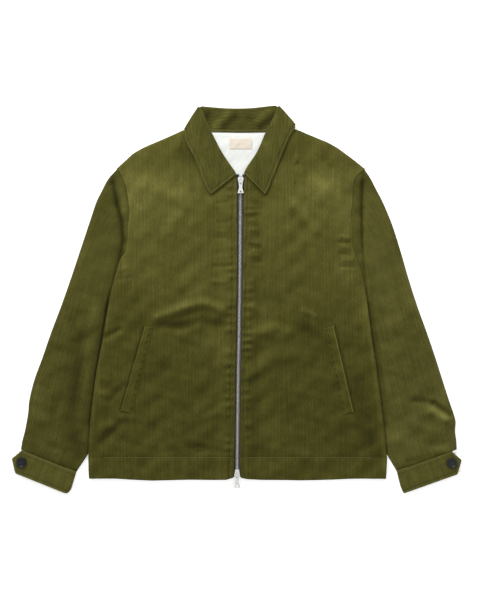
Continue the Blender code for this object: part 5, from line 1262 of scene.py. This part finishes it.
def collar_sections(roll, seam, edge, turn, height, shorter):
    """Outer and inner points of the sections, each from the fall's edge over the roll to the seam.

    In a section's frame "up" is cos(turn) z + sin(turn) sideways. The fall's middle runs half a wall above
    the roll line, the stand's the same distance below it, and a half circle joins them.
    """
    roll3 = np.column_stack([roll, height])
    fall, stand = edge - roll, seam - roll
    fall_long = np.linalg.norm(fall, axis=1) - shorter
    stand_long = np.linalg.norm(stand, axis=1)
    fall, stand = unit(fall), unit(stand)
    out = np.where(roll[:, 0] < CENTRE_BACK_X, -1.0, 1.0)
    zero = 0.0 * out
    c, s = np.cos(turn)[:, None], np.sin(turn)[:, None]
    up = np.array([0.0, 0.0, 1.0])
    fall_up, stand_up = (
        c * up + s * np.stack([out * -way[:, 1], out * way[:, 0], zero], -1) for way in (fall, stand)
    )
    fall, stand = np.column_stack([fall, zero]), np.column_stack([stand, zero])
    half, on_top = COLLAR_WALL / 2.0, np.maximum(0.0, c)
    end = roll + fall[:, :2] * fall_long[:, None]
    end_rest = highest_front(end) + FALL_REST + half
    t = np.concatenate([[1.0, 0.994, 0.985, 0.97, 0.95], np.linspace(0.925, 0.0, 24)])[None, :]
    w = np.linspace(0.0, 1.0, 16)[None, :]
    down_fall, down_stand = fall_long[:, None] * t, stand_long[:, None] * w
    middle = roll3[:, None] + fall_up[:, None] * COLLAR_HALF + fall[:, None] * down_fall[..., None]
    level = middle[..., 2] + (end_rest[:, None] - middle[..., 2]) * t
    rest = highest_front(middle[..., :2]) + FALL_REST + half
    middle[..., 2] += on_top * (np.maximum(level, rest) - middle[..., 2])
    length = np.append(0.0, np.cumsum(np.linalg.norm(np.diff(roll, axis=0), axis=1)))
    from_end = np.minimum(length, length[-1] - length)[:, None]
    in_from_edge = fall_long[:, None] * (1.0 - t)
    crown = 0.35 * smooth(in_from_edge / 10.0) * smooth(down_fall / 12.0)
    crown = crown - 0.45 * bell(in_from_edge - SEWN_IN, 1.4) - rounded(in_from_edge, CUT_EDGE)
    crown = crown - (0.45 * bell(from_end - SEWN_IN, 1.4) + rounded(from_end, CUT_EDGE)) * on_top
    nearest = np.minimum(in_from_edge, from_end)
    marks = 0.35 * crushed(*xy_of(2.2 * middle))
    crown = crown + marks * on_top * smooth(in_from_edge / 12.0)
    strokes = folds(FALL_TONE_AND_LIGHT, *xy_of(middle)) * on_top
    # Painted highlight along the fall's edges, and painted shade along its stitched line.
    fall_tone_and_light = strokes + 0.16 * smooth((4.2 - nearest) / 1.6) - 0.22 * bell(nearest - 5.8, 1.3)
    fall_out = middle + fall_up[:, None] * (half + crown)[..., None]
    fall_in = middle - fall_up[:, None] * half
    way = unit(fall + stand)
    b = np.radians(np.linspace(18.0, 162.0, 9))[None, :, None]
    blend = unit(fall_up[:, None] * (1.0 + np.cos(b)) + stand_up[:, None] * (1.0 - np.cos(b)))
    spoke = np.cos(b) * blend - np.sin(b) * way[:, None]
    nose_out, nose_in = roll3[:, None] + spoke * (COLLAR_HALF + half), roll3[:, None] + spoke * COLLAR_FOLD
    middle = roll3[:, None] - stand_up[:, None] * COLLAR_HALF + stand[:, None] * down_stand[..., None]
    middle[..., 2] += on_top * (lift(*xy_of(middle)) - lift(*xy_of(roll))[:, None])
    face_up = np.maximum(0.0, -c)
    middle[..., 2] += SEAM_RISE * smooth((w - 0.80) / 0.10) * face_up
    swell = folds(STAND_FOLDS, *xy_of(middle)) * face_up
    stand_out = middle - stand_up[:, None] * (half + swell)[..., None]
    stand_in = middle + stand_up[:, None] * half
    outer = np.concatenate([fall_out, nose_out, stand_out], axis=1)
    inner = np.concatenate([fall_in, nose_in, stand_in], axis=1)
    over_nose = 0.0 * turn[:, None] + b[..., 0]
    across = np.hstack([down_fall + 4.0, 4.0 - over_nose * 2.5, -4.0 - down_stand])
    upright = out[:, None] * outer[..., 0] + 0.065 * outer[..., 1]
    across = on_top * upright + (1.0 - on_top) * (across + 90.0)
    # Painted light and shade on the stand's folds and at its ends, a darker line at the seam, and a lighter
    # seam allowance.
    stand_tone_and_light = folds(STAND_TONE_AND_LIGHT, *xy_of(stand_out)) - 0.14
    stand_tone_and_light = stand_tone_and_light - 0.30 * bell(w - 0.86, 0.035) + 0.45 * smooth((w - 0.88) / 0.04)
    tone_and_light = np.hstack([fall_tone_and_light, 0.0 * over_nose, stand_tone_and_light * face_up])
    return outer, inner, together(across, length[:, None]), tone_and_light


def collar_half(table, corner, side, neck_edge):
    """Roll, seam and edge, then turn, height and shortening of one side, from the front's end on."""
    rows = np.array(table)
    seam = neck_point(neck_edge, rows[:, 2], side)
    rows = np.vstack([np.column_stack([rows[:, :2], seam, rows[:, 3:]]), corner])
    plan = read(rows, np.concatenate([[0.0, 0.02, 0.06, 0.12, 0.2], near_far(0.3, len(rows) - 1.0, 0.1)]))
    seam = plan[:, 2:4]
    height = front_top(*xy_of(seam)) - lift(*xy_of(seam)) + lift(*xy_of(plan))
    height = height + COLLAR_HALF - STAND_MIDDLE
    turn = np.radians(np.linspace(0.0, 180.0, 27)[1:])
    front_height = height[-1]
    mid, radius = (front_height + BACK_ROLL_HEIGHT) / 2.0, (front_height - BACK_ROLL_HEIGHT) / 2.0
    fall = unit(np.array(corner[4:6]) - np.array(corner[0:2]))
    outward = np.array([side * abs(fall[1]), abs(fall[0])])
    shift = np.tile(outward, 3) * CORNER_OUT * radius * np.sin(turn)[:, None]
    plan = np.vstack([plan, np.array(corner) + shift])
    shorter = np.concatenate([0.0 * height, CORNER_SHORTER * np.sin(turn).clip(0.0) ** 0.5])
    return plan, np.append(0.0 * height, turn), np.append(height, mid + radius * np.cos(turn)), shorter


def collar_grid():
    """Outer and inner points, cloth coordinates, tone and painted light of the collar, and how many sections
    each front has.

    The sections go round the neck from the right front over the back to the left front.
    """
    sides = []
    first = np.searchsorted(FINE_ROWS, NECK_ROW)
    for hand, table, corner, side in (
        ("right", RIGHT_COLLAR, RIGHT_CORNER, -1), ("left", LEFT_COLLAR, LEFT_CORNER, 1),
    ):
        sides.append(collar_half(table, corner, side, FRONTS[hand][first:, 0]))
    back = np.array([(rx, ry, sx, top_line(sx) + 0.5, ex, ey) for rx, ry, sx, ex, ey in BACK_COLLAR])
    back = np.vstack([RIGHT_CORNER, back, LEFT_CORNER])
    back = read(back, near_far(0.06, len(back) - 1.06, 0.12))
    flat = 0.0 * back[:, 0]
    middle = (back, flat + math.pi, flat + BACK_ROLL_HEIGHT, flat)
    plan, turn, height, shorter = (
        np.concatenate([right, centre, left[::-1]]) for right, centre, left in zip(sides[0], middle, sides[1])
    )
    made = collar_sections(plan[:, 0:2], plan[:, 2:4], plan[:, 4:6], turn, height, shorter)
    return *made, [int((part[1] == 0.0).sum()) for part in sides]


outer, inner, uv, tone_and_light, FRONT_SECTIONS = collar_grid()
COLLAR_TOP = outer
collar = cloth("cloth_collar", outer, inner, uv, (COLLAR_CLOTH,), tone_and_light)
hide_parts("collar")

# %% [markdown]
# ## Neck lining and label
#
# In the opening of the neck lies the smooth cotton lining of the back, with two faint drag lines, and on
# it a small woven label that is left bare. The label is turned under at both ends and stitched down.

# %% Lining
LINING_ROWS = (  # y, right edge, left edge
    (233.0, -5.0, 19.0), (250.0, -18.0, 31.0), (266.0, -29.0, 41.0), (282.0, -38.0, 50.0),
    (299.0, -47.0, 57.0), (315.6, -54.0, 61.0),
)
LINING_FOLDS = ((-22, 262, 4, 300, 6, 0.35), (34, 262, 12, 288, 6, 0.3), (-30, 311, 40, 310, 3, 0.3))


def lining_top(x, y):
    """The lining's upper side: 1.3 mm over the back, with its drag lines and small waves."""
    return back_top(x, y) + 1.3 + folds(LINING_FOLDS, x, y) + 0.6 * unevenness(3.0 * x, 3.0 * y)


rows = read(LINING_ROWS, np.linspace(0.0, 5.0, 48))
share = np.linspace(0.0, 1.0, 60)[None, :]
x = rows[:, 1:2] + (rows[:, 2:3] - rows[:, 1:2]) * share
y = rows[:, 0:1] + 0.0 * x
high, low = together(x, y, lining_top(x, y)), together(x, y, back_top(x, y) + 0.5)
lining = cloth("cloth_lining", high, low, together(x, y), (LINING_CLOTH,))
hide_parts("lining_back")

# %% Label
LABEL_LOW, LABEL_HIGH = (-14.0, 285.0), (29.5, 306.0)
x, y = np.meshgrid(near_far(LABEL_LOW[0], LABEL_HIGH[0], 0.9), near_far(LABEL_LOW[1], LABEL_HIGH[1], 0.9))
end = np.minimum(x - LABEL_LOW[0], LABEL_HIGH[0] - x)
low = lining_top(x, y) + 0.15
high = low + 0.45 + 0.12 * smooth((3.5 - end) / 1.0) - 0.15 * bell(end - 1.8, 0.5)
high = high - rounded(np.minimum(end, np.minimum(y - LABEL_LOW[1], LABEL_HIGH[1] - y)), 0.3)
label = cloth("woven_label", together(x, y, high), together(x, y, low), together(x, y), (LABEL_CLOTH,))
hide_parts("neck_label")

# %% [markdown]
# ## The pocket welts
#
# Each pocket is a slit with one slanted welt: a folded strip whose outer edge is the pocket's mouth. The
# inner edge is stitched down, and every few stitches pull a small dimple.

# %% Welts
# The mouth's two ends and the stitched side's two ends, from the top.
RIGHT_WELT = ((-174.2, -51.8), (-220.6, -212.6), (-159.4, -54.0), (-198.8, -216.4))
LEFT_WELT = ((184.0, -50.6), (222.4, -214.4), (167.6, -55.6), (201.6, -219.2))


def welt_grid(corners, lip_highlight):
    """Outer and inner points, cloth coordinates and painted light and shade of a welt between its mouth and
    its stitched side.

    It is 1.75 mm thick, 0.5 more near the folded mouth and 1 less at the stitches, which pull a dimple
    every 13 mm: max(0, sin(2 pi along / 13))^2.
    """
    mouth_top, mouth_end, stitch_top, stitch_end = (np.array(corner) for corner in corners)
    down = [[0.0, 0.003, 0.008, 0.015], np.linspace(0.025, 0.975, 110), [0.985, 0.992, 0.997, 1.0]]
    across = [[0.0, 0.02, 0.05, 0.1], np.linspace(0.16, 0.88, 14), [0.94, 0.97, 1.0]]
    down, across = np.concatenate(down)[:, None], np.concatenate(across)[None, :]
    mouth = mouth_top + (mouth_end - mouth_top) * down
    stitch = stitch_top + (stitch_end - stitch_top) * down
    xy = mouth[:, None] + (stitch - mouth)[:, None] * across[..., None]
    wide = np.linalg.norm(stitch - mouth, axis=1)[:, None]
    long = np.linalg.norm(mouth_end - mouth_top)
    from_mouth, from_stitch = across * wide, (1.0 - across) * wide
    low = front_top(*xy_of(xy)) + REST
    dimple = np.maximum(0.0, np.sin(down * long / 13.0 * 2.0 * math.pi)) ** 2
    sewn = bell(from_stitch - 3.2, 2.2)
    thick = 1.75 + 0.5 * bell(from_mouth - 2.2, 2.0)
    thick = thick - 1.0 * smooth((across - 0.55) / 0.4)
    thick = thick - 0.5 * dimple * sewn
    edge = np.minimum(np.minimum(down, 1.0 - down) * long, from_mouth)
    thick = np.maximum(0.35, thick - rounded(edge, 1.2))
    lip = smooth((3.0 - from_mouth) / 1.6)
    # Painted shade in the dimples and along the stitches, and a painted highlight on the folded mouth.
    tone_and_light = 1.08 - 0.42 * dimple * sewn - 0.12 * sewn + lip_highlight * lip
    return np.dstack([xy, low + thick]), np.dstack([xy, low]), together(from_mouth, -down * long), tone_and_light


for hand, corners, lip_highlight in (("right", RIGHT_WELT, 0.25), ("left", LEFT_WELT, 1.0)):
    outer, inner, uv, tone_and_light = welt_grid(corners, lip_highlight)
    nap_and_light = (body_nap_and_light(*xy_of(outer)) + 1.0) * tone_and_light - 1.0
    piece = cloth(f"cloth_welt_{hand}", outer, inner, uv, (BODY_CLOTH,), nap_and_light)
    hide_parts(f"welt_{hand}")

# %% [markdown]
# ## The zip
#
# Two black tapes lie under the fronts' edges, and their inner edges carry a corded bead with one metal
# tooth every 2.5 mm. The teeth of one side fill the gaps of the other, which is why the closed chain looks
# like a fine ladder. One tooth is modelled once and copied by adding a table of places to its points.


# %% Tapes
TAPE_FACE, TAPE_BACK = 5.85, 5.0  # heights of a tape's upper and lower side
TOOTH_STEP, TOOTH_HEIGHT = 2.5, 5.55  # from tooth to tooth on one side, and the height of their middles


def tape_strip(name, side):
    """One tape beside the zip's middle line, with a corded bead 4.4 mm from it."""
    y = near_far(-337.4, 237.5, TOOTH_STEP)[:, None]
    across = np.array([3.2, 3.5, 4.2, 5.0, 5.6, 6.2, 8.0, 10.0, 12.0, 14.0])[None, :]
    x = zip_x(y) + side * across
    high = TAPE_FACE + 0.45 * bell(across - 4.4, 0.9) - 0.25 * smooth((3.5 - across) / 0.3)
    outer, inner = together(x, y, high), together(x, y, TAPE_BACK)
    return cloth(name, outer, inner, together(side * across, y), (TAPE_CLOTH,))


for hand, side in (("right", -1), ("left", 1)):
    piece = tape_strip(f"zip_tape_weave_{hand}", side)
    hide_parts(f"zip_tape_{hand}")

# %% Teeth
ROUND_BOX = np.array([corner for corner in itertools.product((-1, 0, 1), repeat=3) if any(corner)], float)


def round_box_faces():
    """The 24 quads of a box with a point in the middle of each side, as corner numbers."""
    number = {tuple(point): k for k, point in enumerate(ROUND_BOX.astype(int).tolist())}
    faces = []
    for axis, sign, i, j in itertools.product(range(3), (-1, 1), (-1, 0), (-1, 0)):
        quad = []
        for di, dj in ((0, 0), (1, 0), (1, 1), (0, 1)):
            point = [0, 0, 0]
            point[axis], point[(axis + 1) % 3], point[(axis + 2) % 3] = sign, i + di, j + dj
            quad.append(number[tuple(point)])
        faces.append(quad[::sign])
    return np.array(faces)


ROUND_FACES = round_box_faces()


def beads(name, centres, along, size, finish, roundness):
    """Small rounded blocks in one mesh, each at a centre and long in its own direction.

    size is long, wide and high. Each point p of a box with sides from -1 to 1 is drawn in towards the
    ball by p (1 - roundness (1 - 1 / |p|)).
    """
    template = ROUND_BOX * (1.0 - roundness * (1.0 - 1.0 / np.linalg.norm(ROUND_BOX, axis=1, keepdims=True)))
    along = unit(np.asarray(along, float))
    across = unit(np.cross(np.broadcast_to([0.0, 0.0, 1.0], along.shape), along))
    half = np.array(size) / 2.0
    spread = sum(
        template[None, :, k : k + 1] * half[k] * way[:, None]
        for k, way in enumerate((along, across, np.cross(along, across)))
    )
    points = (centres[:, None] + spread).reshape(-1, 3)
    faces = (ROUND_FACES[None] + len(ROUND_BOX) * np.arange(len(centres))[:, None, None]).reshape(-1, 4)
    flat = (template[:, :2] * half[:2])[ROUND_FACES] * MM
    return add_piece(name, points, faces, np.tile(flat, (len(centres), 1, 1)), (finish,))


def zip_teeth():
    """Teeth along both sides, the left ones half a step behind, each reaching over the middle line."""
    centres, along = [], []
    for side, late in ((-1, 0.0), (1, TOOTH_STEP / 2.0)):
        y = np.arange(-322.6 + late, 216.6, TOOTH_STEP)
        centres.append(together(zip_x(y) + side * 0.75, y, TOOTH_HEIGHT))
        along.append(np.tile([side * 1.0, 0.0, 0.0], (len(y), 1)))
    centres, along = np.concatenate(centres), np.concatenate(along)
    return beads("zip_teeth", centres, along, (3.9, 1.15, 2.2), TOOTH_METAL, roundness=0.35)


teeth = zip_teeth()
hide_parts("zip_chain")


# %% [markdown]
# The sliders, the pulls and the buttons are hard parts whose solids already have the right shape, so they
# stay and only get their finish.

# %% Finish the hard parts
def refinish(name, finish):
    """Gives a solid one finish in place of its own."""
    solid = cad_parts[name]
    solid.data.materials.clear()
    solid.data.materials.append(finish)


for name in ("zip_slider_top", "zip_slider_bottom", "zip_pull_top", "zip_pull_bottom"):
    refinish(name, SLIDER_METAL)
for name in ("button_right", "button_left"):
    refinish(name, HORN)


# %% [markdown]
# ## Topstitching
#
# Stitches are small, but a jacket without them looks like a model of one. A row of stitches is a path on
# the cloth, cut into steps of 3.4 mm: each stitch is a short rounded thread, and most rows sit in a dip
# that the height formulas already give them.


# %% Stitches
STITCH = 3.4


def stitch_row(path):
    """Centres and directions of stitches along a path of points, evenly spaced."""
    steps = np.linalg.norm(np.diff(path, axis=0), axis=1)
    length = np.append(0.0, np.cumsum(steps))
    at = np.arange(STITCH / 2.0, length[-1], STITCH)
    centre, ahead, behind = (
        np.stack([np.interp(at + off, length, path[:, k]) for k in range(3)], -1) for off in (0.0, 1.0, -1.0)
    )
    return centre, ahead - behind


def stitches(name, paths, size=(2.7, 0.7, 0.6), finish=THREAD):
    """One piece with a row of stitches along each path."""
    centres, along = (np.concatenate(column) for column in zip(*map(stitch_row, paths)))
    return beads(name, centres, along, size, finish, roundness=0.7)


def on_front(x, y, above=0.3):
    """A path on the fronts' upper side, or this far above it."""
    return together(x, y, front_top(x, y) + above)


y = near_far(-333.0, 231.0, 2.0)
stitches("stitches_zip", [on_front(zip_x(y) + side * (zip_gap(y) + SEWN_FROM_ZIP), y) for side in (-1, 1)])
stitches("stitches_hem", [
    on_front(near_far(side * 271.0, zip_x(HEM_STITCH) + side * 13.5, 2.0), HEM_STITCH, 1.0)
    for side in (-1, 1)
], size=(2.8, 0.9, 0.8), finish=PALE_THREAD)
y = near_far(106.0, 234.0, 2.0)
stitches("stitches_armholes", [
    on_front(look_up(table[9:], y, 0, 1) - side * 4.0, y, 0.5)
    for side, table in ((-1, RIGHT_FRONT), (1, LEFT_FRONT))
], finish=PALE_THREAD)
paths = []
for corners in (RIGHT_WELT, LEFT_WELT):
    mouth_top, mouth_end, stitch_top, stitch_end = (np.array(corner) for corner in corners)
    centre = (mouth_top + mouth_end + stitch_top + stitch_end) / 4.0
    for start, end in ((mouth_top, stitch_top), (mouth_end, stitch_end)):
        line = start + (end - start) * np.linspace(-0.1, 1.1, 12)[:, None]
        line = line + unit(centre - line) * np.array([2.6, 1.2])
        paths.append(on_front(*xy_of(line), 1.75))
stitches("stitches_welts", paths, finish=PALE_THREAD)


# %% Stitches on the collar and the cuffs
def along_lines(lines, distance):
    """The point of each line that lies this far along it, straight between the line's own points."""
    steps = np.linalg.norm(np.diff(lines, axis=1), axis=2)
    far = np.cumsum(steps, axis=1)
    k, row = (far < distance).sum(axis=1), np.arange(len(lines))
    share = (distance - far[row, k] + steps[row, k]) / steps[row, k]
    return lines[row, k] + (lines[row, k + 1] - lines[row, k]) * share[:, None]


paths = []
for sections in (COLLAR_TOP[: FRONT_SECTIONS[0]], COLLAR_TOP[::-1][: FRONT_SECTIONS[1]]):
    front_edge = along_lines(sections[:16, 5:27].transpose(1, 0, 2), SEWN_IN)[::-1]
    outer_edge = along_lines(sections[8:], SEWN_IN)
    paths.append(np.concatenate([front_edge, outer_edge]) + np.array([0.0, 0.0, 0.15]))
stitches("stitches_collar", paths)
CUFF_SEWN = np.array(((100.0, 5.0), (1.0, 5.0), (-5.4, 21.0), (4.0, 39.0), (98.0, 39.0)))  # across, down
paths = []
for start, across_wrist, down in CUFFS.values():
    spots = read(CUFF_SEWN[[0, 0, 1, 1, 2, 2, 3, 3, 4]], np.linspace(0.0, 8.0, 161))
    xy = start + spots[:, 0:1] * across_wrist + spots[:, 1:2] * down
    paths.append(np.column_stack([xy, CUFF_TOP + 0.1 - tab_droop(spots[:, 0])]))
stitches("stitches_cuffs", paths)

# %% Button thread
THREAD_SUNK = 1.0  # how far below the button's rim its thread lies


def thread_bars(name):
    """Two short bars of thread over the middle of a button, side by side."""
    low, high = (np.array(corner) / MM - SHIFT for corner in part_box(name))
    middle = (low + high) / 2.0
    centres = np.array([(middle[0], middle[1] + off, high[2] - THREAD_SUNK) for off in (-1.7, 1.7)])
    return centres, np.tile([1.0, 0.0, 0.0], (2, 1))


rows = [thread_bars(name) for name in ("button_right", "button_left")]
centres, along = (np.concatenate(column) for column in zip(*rows))
beads("button_thread", centres, along, (4.6, 1.0, 0.9), TAPE_CLOTH, roundness=0.6)

# %% [markdown]
# ## Floor
#
# The floor is a plain pale sheet.

# %% Floor
FLOOR, tree, shader = principled("pale_floor", 0.9)
shader.inputs["Base Color"].default_value = (0.93, 0.93, 0.93, 1.0)
shader.inputs["Emission Color"].default_value = (1.0, 1.0, 1.0, 1.0)
shader.inputs["Emission Strength"].default_value = 0.35
mesh = bpy.data.meshes.new("floor")
mesh.from_pydata([(x, y, -0.0006) for x, y in ((-9, -9), (9, -9), (9, 9), (-9, 9))], [], [(0, 1, 2, 3)])
mesh.materials.append(FLOOR)
floor = bpy.data.objects.new("floor", mesh)
bpy.context.scene.collection.objects.link(floor)
